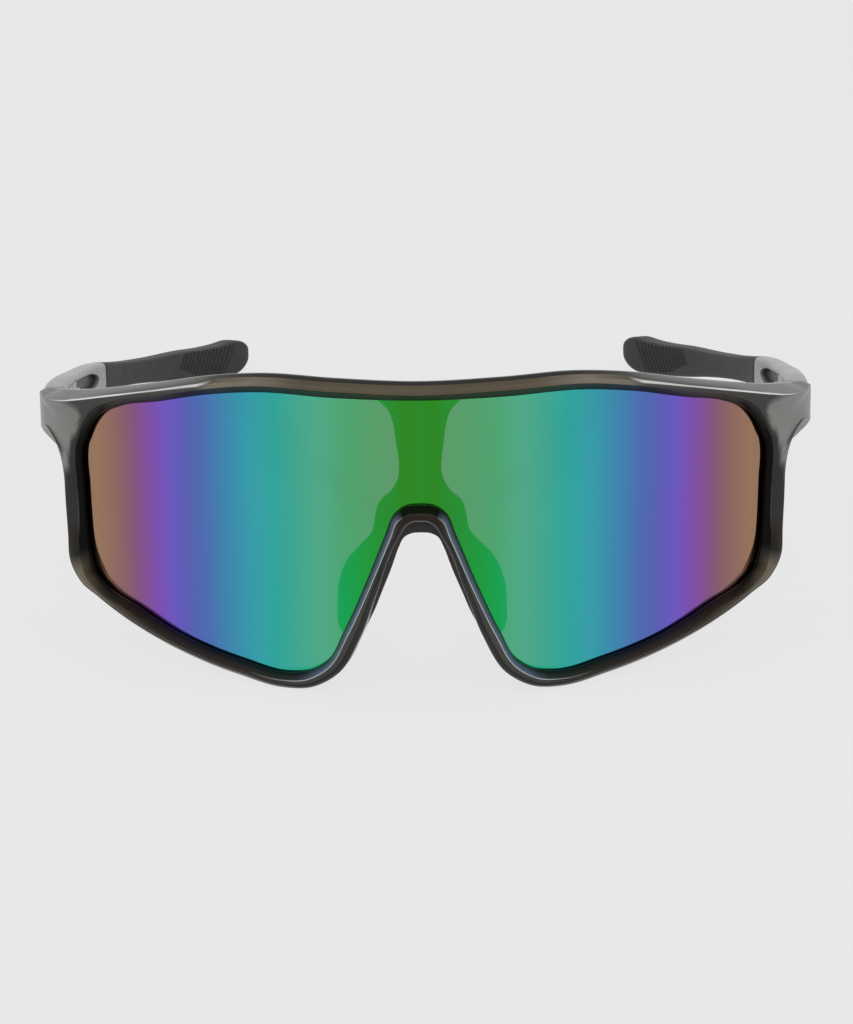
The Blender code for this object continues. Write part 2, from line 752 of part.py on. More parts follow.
def lowest(bm, pitch):
    """Return how far down a shape reaches when it is pitched."""
    up = Vector((0, -math.sin(pitch), math.cos(pitch)))
    return min(vert.co.dot(up) for vert in bm.verts)


def standing_pitch(rim, tip):
    """Return the pitch at which the rim and the temple tip stand level."""
    low = 0
    high = math.pi / 4
    for _ in range(PITCH_HALVINGS):
        middle = (low + high) / 2
        if lowest(rim, middle) < lowest(tip, middle):
            low = middle
        else:
            high = middle
    return (low + high) / 2


def cut_foot(bm, pitch, level):
    """Cut a shape flat at the level that it stands on."""
    up = Vector((0, -math.sin(pitch), math.cos(pitch)))
    cut = bmesh.ops.bisect_plane(
        bm, geom=[*bm.verts, *bm.edges, *bm.faces], plane_co=up * level, plane_no=up,
        dist=CUT_MERGE / ROUND_SIDES, clear_inner=True,
    )
    edges = [item for item in cut["geom_cut"] if isinstance(item, bmesh.types.BMEdge)]
    bmesh.ops.holes_fill(bm, edges=edges, sides=0)


def new_empty(name, location, parent):
    """Make an empty that carries other objects."""
    empty = bpy.data.objects.new(name, None)
    empty.location = location
    empty.parent = parent
    bpy.context.scene.collection.objects.link(empty)
    return empty


def attach(obj, parent, offset):
    """Hang an object and its cutters from a parent, without moving them."""
    for item in (obj, *(modifier.object for modifier in obj.modifiers)):
        item.location = -offset
        item.parent = parent


def build_hinge(side_name, flip, steel):
    """Make one side's hinge; return the frame's objects, then the temple's."""
    end = BARREL_LENGTH / 2
    knuckle_end = BARREL_LENGTH / 3 / 2 - KNUCKLE_GAP / 2
    fixed_end = knuckle_end + KNUCKLE_GAP
    frame_leaf = new_object(f"frame_hinge_{side_name}", leaf(FRAME_LEAF_LENGTH, -1), steel, flip)
    add_knuckles(frame_leaf, ((-end, -fixed_end), (fixed_end, end)), -1, flip)
    drill(frame_leaf, FRAME_SCREW_PLACES, flip)
    temple_leaf = new_object(f"temple_hinge_{side_name}", leaf(TEMPLE_LEAF_LENGTH, 1), steel, flip)
    add_knuckles(temple_leaf, ((-knuckle_end, knuckle_end),), 1, flip)
    drill(temple_leaf, TEMPLE_SCREW_PLACES, flip)
    fixed = [frame_leaf, new_object(f"hinge_pin_{side_name}", hinge_pin(), steel, flip)]
    moving = [temple_leaf]
    for index, place in enumerate(FRAME_SCREW_PLACES, start=1):
        fixed.append(new_object(f"frame_screw_{side_name}_{index}", leaf_screw(place), steel, flip))
    for index, place in enumerate(TEMPLE_SCREW_PLACES, start=1):
        moving.append(new_object(f"temple_screw_{side_name}_{index}", leaf_screw(place), steel, flip))
    return fixed, moving


def build_temple(side_name, flip, smoke, rubber, stand):
    """Make one temple: its arm and its sleeve, cut flat where it stands."""
    arm = new_object(f"temple_arm_{side_name}", temple_arm(), smoke, flip)
    combine(arm, "pocket", temple_pocket(), "DIFFERENCE", flip)
    combine(arm, "hinge_seat", leaf_seat(TEMPLE_LEAF_LENGTH, LEAF_HEIGHT, 1), "DIFFERENCE", flip)
    drill(arm, TEMPLE_SCREW_PLACES, flip)
    tip = temple_sleeve()
    cut_foot(tip, *stand)
    return [arm, new_object(f"temple_sleeve_{side_name}", tip, rubber, flip)]


def main():
    """Build the sunglasses and stand them on the plate."""
    for obj in list(bpy.data.objects):
        bpy.data.objects.remove(obj)
    smoke = new_material("smoke_plastic", SMOKE, 0.12, 0)
    tint = new_material("mirrored_lens", LENS_TINT, 0.05, 0.6)
    rubber = new_material("grey_rubber", RUBBER_GREY, 0.75, 0)
    steel = new_material("hinge_steel", STEEL, 0.3, 1)

    rim = frame_front()
    tip = temple_sleeve()
    pitch = standing_pitch(rim, tip)
    level = lowest(rim, pitch) + FLAT_DEPTH
    cut_foot(rim, pitch, level)
    back = Vector((0, math.cos(pitch), math.sin(pitch)))
    front = min(vert.co.dot(back) for vert in rim.verts)
    rear = max(vert.co.dot(back) for vert in tip.verts)
    tip.free()
    root = new_empty("standing_frame", (0, -(front + rear) / 2, -level), None)
    root.rotation_euler.x = -pitch

    frame = new_object("frame_front", rim, smoke, False)
    fixed = [
        frame,
        new_object("shield_lens", shield_lens(), tint, False),
        new_object("nose_bridge", nose_bridge(), smoke, False),
    ]
    for side_name, flip in (("left", True), ("right", False)):
        drill(frame, FRAME_SCREW_PLACES, flip)
        seat = leaf_seat(FRAME_LEAF_LENGTH, BARREL_LENGTH, -1)
        combine(frame, f"hinge_seat_{side_name}", seat, "DIFFERENCE", flip)
        fixed.append(new_object(f"nose_pad_{side_name}", nose_pad(), rubber, flip))
        held, moving = build_hinge(side_name, flip, steel)
        fixed.extend(held)
        moving.extend(build_temple(side_name, flip, smoke, rubber, (pitch, level)))
        pivot = axis_matrix().to_translation()
        if flip:
            pivot.x = -pivot.x
        hinge = new_empty(f"fold_axis_{side_name}", pivot, root)
        for obj in moving:
            attach(obj, hinge, pivot)
    for obj in fixed:
        attach(obj, root, Vector((0, 0, 0)))
    print(f"pitch {math.degrees(pitch):.4f} degrees")


main()
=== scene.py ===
"""Dresses a pair of wrap-around sports sunglasses with one mirrored shield lens.

The pieces are drawn flat on a strip that runs from the middle of the lens out
to each temple tip, with u along the strip, z up and d outwards from the lens's
front face. The strip is rolled round the face and then tilted until the
glasses stand on the lower rim and the temple tips. Lengths are in metres.
"""
import json
import logging
import math
from dataclasses import dataclass
from enum import Enum, IntEnum
from functools import cached_property
from typing import Any, Sequence

import bmesh
import bpy
from mathutils import Matrix, Vector
from mathutils.kdtree import KDTree

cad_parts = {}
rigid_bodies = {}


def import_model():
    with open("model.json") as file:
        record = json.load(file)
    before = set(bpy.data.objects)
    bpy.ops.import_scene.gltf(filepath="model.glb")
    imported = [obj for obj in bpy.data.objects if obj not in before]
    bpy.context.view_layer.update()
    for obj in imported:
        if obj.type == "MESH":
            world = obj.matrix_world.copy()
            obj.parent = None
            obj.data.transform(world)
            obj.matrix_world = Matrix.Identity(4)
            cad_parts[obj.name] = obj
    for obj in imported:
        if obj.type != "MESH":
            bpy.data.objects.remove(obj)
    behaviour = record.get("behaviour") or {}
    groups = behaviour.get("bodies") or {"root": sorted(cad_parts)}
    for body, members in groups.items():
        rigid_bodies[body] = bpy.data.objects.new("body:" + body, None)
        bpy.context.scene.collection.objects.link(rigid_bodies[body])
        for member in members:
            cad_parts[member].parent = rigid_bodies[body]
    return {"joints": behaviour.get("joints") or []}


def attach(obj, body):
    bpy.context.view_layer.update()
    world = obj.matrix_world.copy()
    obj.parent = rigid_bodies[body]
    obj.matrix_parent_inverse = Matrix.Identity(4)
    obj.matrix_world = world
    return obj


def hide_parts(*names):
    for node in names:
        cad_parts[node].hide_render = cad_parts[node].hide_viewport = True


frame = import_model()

LOG = logging.getLogger("sunglasses")
CUT_MERGE = 0.000001
JOINT_GAP = 0.0003
PLATE_STEP = 0.0012
BLOCK_STEP = 0.0015
CORNER_SHARE = 0.48
FOLDED_ANGLE = math.radians(60)
SHARP_ANGLE = math.radians(34)

Pair = tuple[float, float]
Colour = tuple[float, float, float]
Stops = tuple[tuple[float, Colour], ...]
Table = tuple[tuple[float, ...], ...]
Ring = list[Vector]

# Named colours for the tones that the meshes hold. Olive, umber and bronze are the brow's own smoky
# browns, and grey is partly the endpieces' own colour. The rest mostly paint light: black and shadow are
# painted shade in lips, bevels and recesses; silver, white and steel are painted highlights on ridges,
# strips and edges; bronze also paints a highlight on the lower corners; lavender is a painted reflection
# of the lens on the nose legs; grey and stone paint lit facets that face up; ash also paints the shade
# inside the temples' pockets.
TONES_AND_PAINTED_LIGHT: dict[str, Colour] = {
    "black": (0.0030, 0.0028, 0.0026),
    "shadow": (0.012, 0.012, 0.010),
    "moss": (0.036, 0.042, 0.036),
    "umber": (0.024, 0.017, 0.012),
    "olive": (0.066, 0.051, 0.030),
    "bronze": (0.125, 0.108, 0.080),
    "slate": (0.028, 0.028, 0.026),
    "ash": (0.056, 0.055, 0.052),
    "steel": (0.115, 0.113, 0.108),
    "stone": (0.150, 0.147, 0.141),
    "grey": (0.200, 0.196, 0.188),
    "silver": (0.450, 0.445, 0.435),
    "white": (0.640, 0.635, 0.630),
    "lavender": (0.110, 0.112, 0.200),
}


def opaque(colour: Colour) -> tuple[float, float, float, float]:
    """Return a colour that hides what is behind it."""
    return (*colour, 1.0)


class Side(Enum):
    """The side of the face that a piece belongs to."""

    LEFT = "left"
    RIGHT = "right"

    @property
    def body(self) -> str:
        """Return the name of the body that this side's temple moves with."""
        return f"{self.value}_temple"


class Boolean(Enum):
    """What a cutter does to the piece that it meets."""

    CUT = "DIFFERENCE"
    JOIN = "UNION"


def spline(points: Sequence, steps: int, closed: bool) -> list[Vector]:
    """Draw a smooth curve through rows of numbers.

    Args:
        points: The rows that the curve passes through.
        steps: How many pieces each span is cut into.
        closed: Whether the last row leads back to the first.

    Returns:
        The points along the curve.
    """
    rows = [Vector(row) for row in points]
    count = len(rows)
    before = [rows[-1] if closed else rows[0], *rows[:-1]]
    after = [*rows[1:], rows[0] if closed else rows[-1]]
    slopes = []
    for last, here, following in zip(before, rows, after):
        near = (here - last).length
        far = (following - here).length
        if near and far:
            arriving = (here - last) / near
            leaving = (following - here) / far
            slopes.append((arriving * far + leaving * near) / (near + far))
        else:
            slopes.append((following - last) / (near + far))
    curve = []
    for index in range(count if closed else count - 1):
        end = (index + 1) % count
        span = (rows[end] - rows[index]).length
        for step in range(steps):
            t = step / steps
            rise = t * t * (3 - 2 * t)
            curve.append(
                rows[index].lerp(rows[end], rise)
                + slopes[index] * span * t * (1 - t) ** 2
                - slopes[end] * span * t * t * (1 - t)
            )
    if not closed:
        curve.append(rows[-1])
    return curve


def blend(table: Table, place: float, column: int = 1) -> float:
    """Read a table along a smooth line that never overshoots.

    Args:
        table: Rows of a place and its values, in rising order.
        place: Where the table is read.
        column: Which value is read.

    Returns:
        The value at that place.
    """
    if place <= table[0][0]:
        return table[0][column]
    if place >= table[-1][0]:
        return table[-1][column]
    rises = []
    for here, after in zip(table, table[1:]):
        rises.append((after[column] - here[column]) / (after[0] - here[0]))
    slopes = [0.0]
    for last, following in zip(rises, rises[1:]):
        slopes.append(2 * last * following / (last + following) if last * following > 0 else 0.0)
    slopes.append(0.0)
    index = max(number for number, row in enumerate(table[:-1]) if row[0] <= place)
    start, end = table[index][0], table[index + 1][0]
    low, high = table[index][column], table[index + 1][column]
    t = (place - start) / (end - start)
    rise = t * t * (3 - 2 * t)
    bend = slopes[index] * t * (1 - t) ** 2 - slopes[index + 1] * t * t * (1 - t)
    return low + (high - low) * rise + bend * (end - start)


def between(rows: Sequence, place: float) -> tuple[Any, Any, float]:
    """Find the two rows that a place lies between.

    Args:
        rows: Rows that start with their place, in rising order.
        place: Where they are read.

    Returns:
        The row before, the row after, and the share of the way between them, held to 0 and 1.
    """
    pairs = zip(rows, rows[1:])
    last, following = next((pair for pair in pairs if place <= pair[1][0]), (rows[-2], rows[-1]))
    share = (place - last[0]) / (following[0] - last[0])
    return last, following, min(1, max(0, share))


def square_to(curve: list[Vector], index: int) -> Vector:
    """Return the direction square to a closed curve at one of its points, on its left."""
    tangent = curve[(index + 1) % len(curve)] - curve[index - 1]
    return Vector((-tangent.y, tangent.x)).normalized()


def soften(outline: list, radii: list[float], steps: int) -> list[Vector]:
    """Round the corners of a closed outline.

    Args:
        outline: The corners, in order.
        radii: How far from each corner its rounding starts; 0 keeps it sharp.
        steps: How many edges each rounding has.

    Returns:
        The outline with its roundings.
    """
    corners = [Vector(corner) for corner in outline]
    made = []
    for index, (corner, radius) in enumerate(zip(corners, radii)):
        if not radius:
            made.append(corner)
            continue
        last = corners[index - 1] - corner
        following = corners[(index + 1) % len(corners)] - corner
        start = corner + last * min(CORNER_SHARE, radius / max(last.length, CUT_MERGE))
        end = corner + following * min(CORNER_SHARE, radius / max(following.length, CUT_MERGE))
        for step in range(steps + 1):
            t = step / steps
            made.append(start * (1 - t) ** 2 + corner * 2 * t * (1 - t) + end * t * t)
    return made


@dataclass(frozen=True)
class Strip:
    """The flat strip that the glasses are drawn on, and how it is rolled."""

    lens_radius: float = 0.085
    lens_zone: float = 0.0705
    corner_radius: float = 0.028
    temple_radius: float = 0.225
    temple_heading: float = math.radians(86)

    @staticmethod
    def unit(angle: float) -> Vector:
        """Return the plan direction that points out of the strip at a heading."""
        return Vector((math.sin(angle), -math.cos(angle)))

    def at(self, along: float) -> tuple[Vector, float]:
        """Follow the strip round the face.

        Args:
            along: The distance from the middle of the lens.

        Returns:
            The plan point, and the angle that the strip has turned by there.
        """
        corner = self.corner_radius * (self.temple_heading - self.lens_zone / self.lens_radius)
        arcs = (
            (self.lens_radius, self.lens_zone),
            (self.corner_radius, corner),
            (self.temple_radius, math.inf),
        )
        point = Vector((0, 0))
        heading = 0.0
        for radius, length in arcs:
            centre = point - radius * self.unit(heading)
            step = min(along, length)
            heading += step / radius
            point = centre + radius * self.unit(heading)
            along -= step
            if along <= 0:
                break
        return point, heading

    def wrap(self, along: float, height: float, outwards: float) -> Vector:
        """Roll a point of the flat strip into place.

        Args:
            along: Its distance along the strip, negative on the -X side.
            height: Its height.
            outwards: Its distance out from the lens's front face.

        Returns:
            The point in the drawing's frame.
        """
        point, heading = self.at(abs(along))
        x, y = point + outwards * self.unit(heading)
        return Vector((math.copysign(x, along) if along else 0, y, height))

    def axes(self, along: float, height: float, outwards: float) -> Matrix:
        """Set up axes at a point: along the strip, outwards and up.

        Args:
            along: The point's distance along the strip.
            height: Its height.
            outwards: Its distance out from the lens's front face.

        Returns:
            The axes, in that order.
        """
        point = self.wrap(along, height, outwards)
        out = self.unit(self.at(abs(along))[1])
        return Matrix((
            (-out.y, out.x, 0, point.x),
            (out.x, out.y, 0, point.y),
            (0, 0, 1, point.z),
            (0, 0, 0, 1),
        ))


@dataclass(frozen=True)
class Stand:
    """How the drawn glasses stand in the row's frame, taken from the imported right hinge."""

    matrix: Matrix

    @classmethod
    def from_joint(cls, joint: dict, drawn: Vector) -> "Stand":
        """Work out the stand from the hinge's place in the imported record.

        Args:
            joint: The right hinge's row in the record.
            drawn: Where the same hinge is drawn.

        Returns:
            The stand.
        """
        axis = Vector(joint["axis"])
        turn = Matrix.Rotation(-math.atan2(axis.y, axis.z), 4, "X")
        shift = Vector(joint["pos_m"]) - turn @ drawn
        return cls(Matrix.Translation(shift) @ turn)


class Shape:
    """A closed mesh under construction, on the +X side and still in the drawing's frame."""

    def __init__(self, strip: Strip) -> None:
        """Start an empty shape on a strip."""
        self.strip = strip
        self.bm = bmesh.new()

    def sweep(self, rings: list[Ring], capped: bool) -> "Shape":
        """Join rings of points into a skin.

        Args:
            rings: Rings with the same number of points each.
            capped: Whether both ends are closed; otherwise the last ring meets the first.

        Returns:
            The shape.
        """
        bm = self.bm
        place = bm.verts.layers.int.new("place")
        verts = [bm.verts.new(point) for point in rings[0]]
        for index, vert in enumerate(verts):
            vert[place] = index
        edges = [bm.edges.new((verts[index - 1], vert)) for index, vert in enumerate(verts)]
        if capped:
            bm.faces.new(verts)
        for ring in rings[1:] if capped else [*rings[1:], rings[0]]:
            made = bmesh.ops.extrude_edge_only(bm, edges=edges)["geom"]
            edges = [item for item in made if isinstance(item, bmesh.types.BMEdge)]
            verts = [item for item in made if isinstance(item, bmesh.types.BMVert)]
            for vert in verts:
                vert.co = ring[vert[place]]
        if capped:
            verts.sort(key=lambda vert: vert[place])
            bm.faces.new(verts)
        bmesh.ops.remove_doubles(bm, verts=bm.verts, dist=CUT_MERGE)
        return self

    def plate(self, outline: list, front: float, back: float, step: float, bevel: float) -> "Shape":
        """Make a plate of a flat outline between two depths, and roll it.

        Args:
            outline: The (along, height) points of its edge.
            front: Depth of its front face.
            back: Depth of its back face.
            step: Greatest width of the flat strips that make up its curve.
            bevel: Width of the rounding round both faces; 0 leaves them sharp.

        Returns:
            The shape.
        """
        bm = self.bm
        bm.faces.new([bm.verts.new((along, front, height)) for along, height in outline])
        low = min(point[0] for point in outline)
        high = max(point[0] for point in outline)
        strips = math.ceil((high - low) / step)
        for index in range(1, strips):
            cut = low + (high - low) * index / strips
            bmesh.ops.bisect_plane(
                bm, geom=[*bm.verts, *bm.edges, *bm.faces], plane_co=(cut, front, 0),
                plane_no=(1, 0, 0), dist=CUT_MERGE,
            )
        made = bmesh.ops.extrude_face_region(bm, geom=bm.faces[:])["geom"]
        for item in made:
            if isinstance(item, bmesh.types.BMVert):
                item.co.y = back
        if bevel:
            bmesh.ops.recalc_face_normals(bm, faces=bm.faces)
            rims = [edge for edge in bm.edges if edge.calc_face_angle(0) > FOLDED_ANGLE
                    and abs(edge.verts[0].co.y - edge.verts[1].co.y) < CUT_MERGE]
            self.round_edges(rims, bevel)
        return self.roll()

    def box(self, near: float, far: float, low: float, high: float,
            shallow: float, deep: float, bevel: float = 0) -> "Shape":
        """Make a rolled block between two places, two heights and two depths.

        Args:
            near: Its start along the strip.
            far: Its end along the strip.
            low: Its lower side.
            high: Its upper side.
            shallow: Depth of its front face.
            deep: Depth of its back face.
            bevel: Width of the rounding round both faces.

        Returns:
            The shape.
        """
        outline = [(near, low), (far, low), (far, high), (near, high)]
        return self.plate(outline, shallow, deep, BLOCK_STEP, bevel)

    def round_edges(self, edges: list, width: float, segments: int = 3) -> "Shape":
        """Round some of the shape's edges.

        Args:
            edges: The edges.
            width: How far from each edge its rounding starts.
            segments: How many faces go round each edge.

        Returns:
            The shape.
        """
        bmesh.ops.bevel(
            self.bm, geom=edges, offset=width, offset_type="OFFSET", segments=segments,
            profile=0.5, affect="EDGES", clamp_overlap=True, material=-1,
        )
        return self

    def roll(self) -> "Shape":
        """Roll the flat shape, drawn with depth as Y, round the face."""
        for vert in self.bm.verts:
            vert.co = self.strip.wrap(vert.co.x, vert.co.z, vert.co.y)
        return self

    def cylinder(self, radius: float, low: float, high: float, axes: Matrix,
                 sides: int = 48) -> "Shape":
        """Add a closed cylinder along the Z axis of the given axes.

        Args:
            radius: Its radius.
            low: Where it starts along the axis.
            high: Where it ends.
            axes: Where the axis is.
            sides: How many flats go round.

        Returns:
            The shape.
        """
        bmesh.ops.create_cone(
            self.bm, cap_ends=True, segments=sides, radius1=radius, radius2=radius,
            depth=high - low, matrix=axes @ Matrix.Translation((0, 0, (low + high) / 2)),
        )
        return self

    def turned(self, rows: Table, axes: Matrix, sides: int = 40) -> "Shape":
        """Turn (distance, radius) rows about the Z axis of the given axes.

        Args:
            rows: Places along the axis and the radius there, from one end to the other.
            axes: Where the axis is.
            sides: How many flats go round.

        Returns:
            The shape.
        """
        bm = self.bm
        line = [bm.verts.new((0, 0, rows[0][0]))]
        line.extend(bm.verts.new((radius, 0, distance)) for distance, radius in rows)
        line.append(bm.verts.new((0, 0, rows[-1][0])))
        edges = [bm.edges.new(pair) for pair in zip(line, line[1:])]
        bmesh.ops.spin(
            bm, geom=[*line, *edges], cent=(0, 0, 0), axis=(0, 0, 1), angle=math.tau,
            steps=sides, use_merge=True,
        )
        bmesh.ops.remove_doubles(bm, verts=bm.verts, dist=CUT_MERGE)
        bm.transform(axes)
        return self


@dataclass
class Workshop:
    """Turns shapes into placed pieces of the model."""

    strip: Strip
    stand: Stand

    def mesh(self, name: str, shape: Shape, side: Side, foot: bool = False) -> bpy.types.Mesh:
        """Place a shape in the row's frame.

        Args:
            name: The mesh's name.
            shape: The shape, which is used up.
            side: The side that it goes on.
            foot: Whether it is cut flat where it stands on the floor.

        Returns:
            The mesh.
        """
        bm = shape.bm
        if side is Side.LEFT:
            bmesh.ops.scale(bm, vec=(-1, 1, 1), verts=bm.verts)
        bm.transform(self.stand.matrix)
        if foot:
            cut = bmesh.ops.bisect_plane(
                bm, geom=[*bm.verts, *bm.edges, *bm.faces], plane_co=(0, 0, 0),
                plane_no=(0, 0, 1), dist=CUT_MERGE, clear_inner=True,
            )
            edges = [item for item in cut["geom_cut"] if isinstance(item, bmesh.types.BMEdge)]
            bmesh.ops.holes_fill(bm, edges=edges, sides=0)
        bmesh.ops.recalc_face_normals(bm, faces=bm.faces)
        if bm.calc_volume(signed=True) < 0:
            bmesh.ops.reverse_faces(bm, faces=bm.faces)
        mesh = bpy.data.meshes.new(name)
        bm.to_mesh(mesh)
        bm.free()
        return mesh

    @staticmethod
    def carve(mesh: bpy.types.Mesh, tools: list[bpy.types.Mesh],
              action: Boolean) -> bpy.types.Mesh:
        """Cut shapes out of a mesh, or join them to it.

        Args:
            mesh: The mesh that is worked on.
            tools: The shapes that meet it.
            action: What they do to it.

        Returns:
            The new mesh.
        """
        scene = bpy.context.scene.collection.objects
        body = bpy.data.objects.new("carved", mesh)
        scene.link(body)
        cutters = []
        for tool in tools:
            cutter = bpy.data.objects.new("cutter", tool)
            scene.link(cutter)
            cutters.append(cutter)
            modifier = body.modifiers.new("carve", "BOOLEAN")
            modifier.operation = action.value
            modifier.solver = "EXACT"
            modifier.object = cutter
        graph = bpy.context.evaluated_depsgraph_get()
        made = bpy.data.meshes.new_from_object(body.evaluated_get(graph))
        made.name = mesh.name
        for item in (body, *cutters):
            bpy.data.objects.remove(item)
        return made

    def tint(self, mesh: bpy.types.Mesh, marks: list[tuple[Vector, Colour]], side: Side) -> None:
        """Colour a mesh's points like the nearest of some marked places.

        Args:
            mesh: The placed mesh.
            marks: Drawn places with their colours.
            side: The side that the mesh was placed on.
        """
        tree = KDTree(len(marks))
        for index, (point, _) in enumerate(marks):
            x, y, z = point
            tree.insert(self.stand.matrix @ Vector((-x if side is Side.LEFT else x, y, z)), index)
        tree.balance()
        # The marked colours, painted highlights and painted shade among them, are stored as a point
        # attribute.
        tones_and_painted_light = mesh.attributes.new("tone_and_painted_light", "FLOAT_COLOR", "POINT")
        for vert, value in zip(mesh.vertices, tones_and_painted_light.data):
            value.color = opaque(marks[tree.find(vert.co)[1]][1])

    @staticmethod
    def place(mesh: bpy.types.Mesh, material: bpy.types.Material, body: str,
              slot: str, node: str) -> bpy.types.Object:
        """Show a mesh as a piece that rides on a body and stands for a CAD node.

        Args:
            mesh: The piece's mesh, in the row's frame.
            material: Its finish.
            body: The CAD body that it moves with.
            slot: The record's material slot; not used.
            node: The CAD node that it stands for.

        Returns:
            The piece.
        """
        mesh.materials.clear()
        mesh.materials.append(material)
        mesh.shade_smooth()
        mesh.set_sharp_from_angle(angle=SHARP_ANGLE)
        piece = bpy.data.objects.new(f"{node}_detailed", mesh)
        bpy.context.scene.collection.objects.link(piece)
        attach(piece, body)
        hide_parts(node)
        LOG.info("%s rides on %s: %d faces", piece.name, body, len(mesh.polygons))
        return piece


class Nodes:
    """A node tree, with short ways to add and join its nodes."""

    def __init__(self, tree: bpy.types.NodeTree) -> None:
        """Work on a tree."""
        self.tree = tree

    def add(self, kind: str, inputs: dict[int | str, Any] | None = None,
            **settings: Any) -> bpy.types.Node:
        """Add a node.

        Args:
            kind: The node's type.
            inputs: Numbers or other nodes' sockets for its inputs, by name or number.
            settings: Its other settings.

        Returns:
            The node.
        """
        made = self.tree.nodes.new(kind)
        for name, value in settings.items():
            setattr(made, name, value)
        for name, value in (inputs or {}).items():
            self.feed(made.inputs[name], value)
        return made

    def feed(self, socket: bpy.types.NodeSocket, value: Any) -> None:
        """Set an input to a number, or join it to another node's output.

        Args:
            socket: The input.
            value: The number, or the other node's output.
        """
        if isinstance(value, bpy.types.NodeSocket):
            self.tree.links.new(value, socket)
        else:
            socket.default_value = value


class Finish(Nodes):
    """A material under construction."""

    def __init__(self, name: str) -> None:
        """Start a Principled material."""
        self.material = bpy.data.materials.new(name)
        self.material.use_nodes = True
        super().__init__(self.material.node_tree)
        self.surface = self.tree.nodes["Principled BSDF"]

    @cached_property
    def place(self) -> bpy.types.NodeSocket:
        """Return the Object coordinates."""
        return self.add("ShaderNodeTexCoord").outputs["Object"]

    def set(self, **values: Any) -> None:
        """Set the shader's inputs, with underscores for the spaces in their names."""
        for name, value in values.items():
            self.feed(self.surface.inputs[name.replace("_", " ")], value)

    def noise(self, scale: float, detail: float = 3,
              stretch: tuple[float, float, float] = (1, 1, 1)) -> bpy.types.NodeSocket:
        """Add a cloudy pattern.

        Args:
            scale: Its grains per metre.
            detail: How many finer layers it has.
            stretch: Scale of the coordinates along each axis.

        Returns:
            The pattern, from 0 to 1.
        """
        vector = self.add("ShaderNodeMapping", {"Vector": self.place, "Scale": stretch}).outputs[0]
        made = self.add("ShaderNodeTexNoise", {"Vector": vector, "Scale": scale, "Detail": detail})
        return made.outputs["Fac"]

    def base(self, colour: Colour | None, cloud: bpy.types.NodeSocket) -> bpy.types.NodeSocket:
        """Lay a cloudy shade over a colour or over the tones that a mesh holds, painted highlights and
        painted shade included.

        Args:
            colour: The colour, or None for the tones that the mesh holds.
            cloud: The shade.

        Returns:
            The shaded colour.
        """
        if colour is None:
            under = self.add("ShaderNodeAttribute", attribute_name="tone_and_painted_light").outputs["Color"]
        else:
            under = opaque(colour)
        grey = self.add("ShaderNodeCombineColor", {0: cloud, 1: cloud, 2: cloud}).outputs[0]
        made = self.add(
            "ShaderNodeMix", {0: 1.0, 6: under, 7: grey}, data_type="RGBA", blend_type="MULTIPLY",
        )
        return made.outputs[2]

    def ramp(self, place: bpy.types.NodeSocket, stops: Stops, bend: str) -> bpy.types.NodeSocket:
        """Read a row of colours.

        Args:
            place: Where the row is read, from 0 to 1.
            stops: The (place, colour) stops.
            bend: How the colours run into each other.

        Returns:
            The colour.
        """
        made = self.add("ShaderNodeValToRGB", {0: place})
        made.color_ramp.interpolation = bend
        elements = made.color_ramp.elements
        for index, (share, colour) in enumerate(stops):
            stop = elements[index] if index < len(elements) else elements.new(share)
            stop.position = share
            stop.color = opaque(colour)
        return made.outputs[0]

    def spread(self, value: bpy.types.NodeSocket, low: float, high: float,
               ends: Pair = (0.3, 0.7), how: str = "SMOOTHSTEP") -> bpy.types.NodeSocket:
        """Spread a part of a pattern's range over another range.

        Args:
            value: The pattern.
            low: What its lower end becomes.
            high: What its upper end becomes.
            ends: The part of its range that is spread; past it the value is held.
            how: How it runs from one end to the other.

        Returns:
            The spread value.
        """
        inputs = {
            "Value": value, "From Min": ends[0], "From Max": ends[1], "To Min": low, "To Max": high,
        }
        return self.add("ShaderNodeMapRange", inputs, interpolation_type=how).outputs[0]

    def sideways(self) -> bpy.types.NodeSocket:
        """Return the distance to the left or right of the middle."""
        value = self.add("ShaderNodeSeparateXYZ", {0: self.place}).outputs["X"]
        return self.add("ShaderNodeMath", {0: value}, operation="ABSOLUTE").outputs[0]

    def relief(self, height: bpy.types.NodeSocket, strength: float, distance: float) -> None:
        """Give the surface a fine relief.

        Args:
            height: The pattern of its heights.
            strength: How much of it shows.
            distance: How high it is.
        """
        bump = self.add("ShaderNodeBump", {"Height": height, "Strength": strength, "Distance": distance})
        self.set(Normal=bump.outputs[0])

    def overlay(self, share: float | bpy.types.NodeSocket, shader: bpy.types.Node) -> None:
        """Mix a share of another shader into the surface.

        Args:
            share: How much of the other shader shows.
            shader: The other shader.
        """
        inputs = {0: share, 1: self.surface.outputs[0], 2: shader.outputs[0]}
        mix = self.add("ShaderNodeMixShader", inputs)
        self.feed(self.tree.nodes["Material Output"].inputs["Surface"], mix.outputs[0])


@dataclass(frozen=True)
class SmokePlastic:
    """Glossy see-into nylon, in one colour or in the tones that a piece's mesh holds, with their painted
    highlights and painted shade.
    """

    name: str
    colour: Colour | None
    roughness: float = 0.16
    unevenness: float = 0.04
    ior: float = 1.15
    cloud: float = 90
    shade: Pair = (0.90, 1.08)
    grain: float = 3200
    grain_ends: Pair = (0.35, 0.65)
    relief_grain: float = 3600
    relief: Pair = (0.02, 0.00001)

    def make(self) -> bpy.types.Material:
        """Build the finish.

        Returns:
            The material.
        """
        finish = Finish(self.name)
        cloud = finish.spread(finish.noise(self.cloud), *self.shade)
        finish.set(
            Base_Color=finish.base(self.colour, cloud),
            Roughness=finish.spread(
                finish.noise(self.grain), self.roughness, self.roughness + self.unevenness,
                self.grain_ends,
            ),
            IOR=self.ior,
        )
        finish.relief(finish.noise(self.relief_grain, 2), *self.relief)
        return finish.material


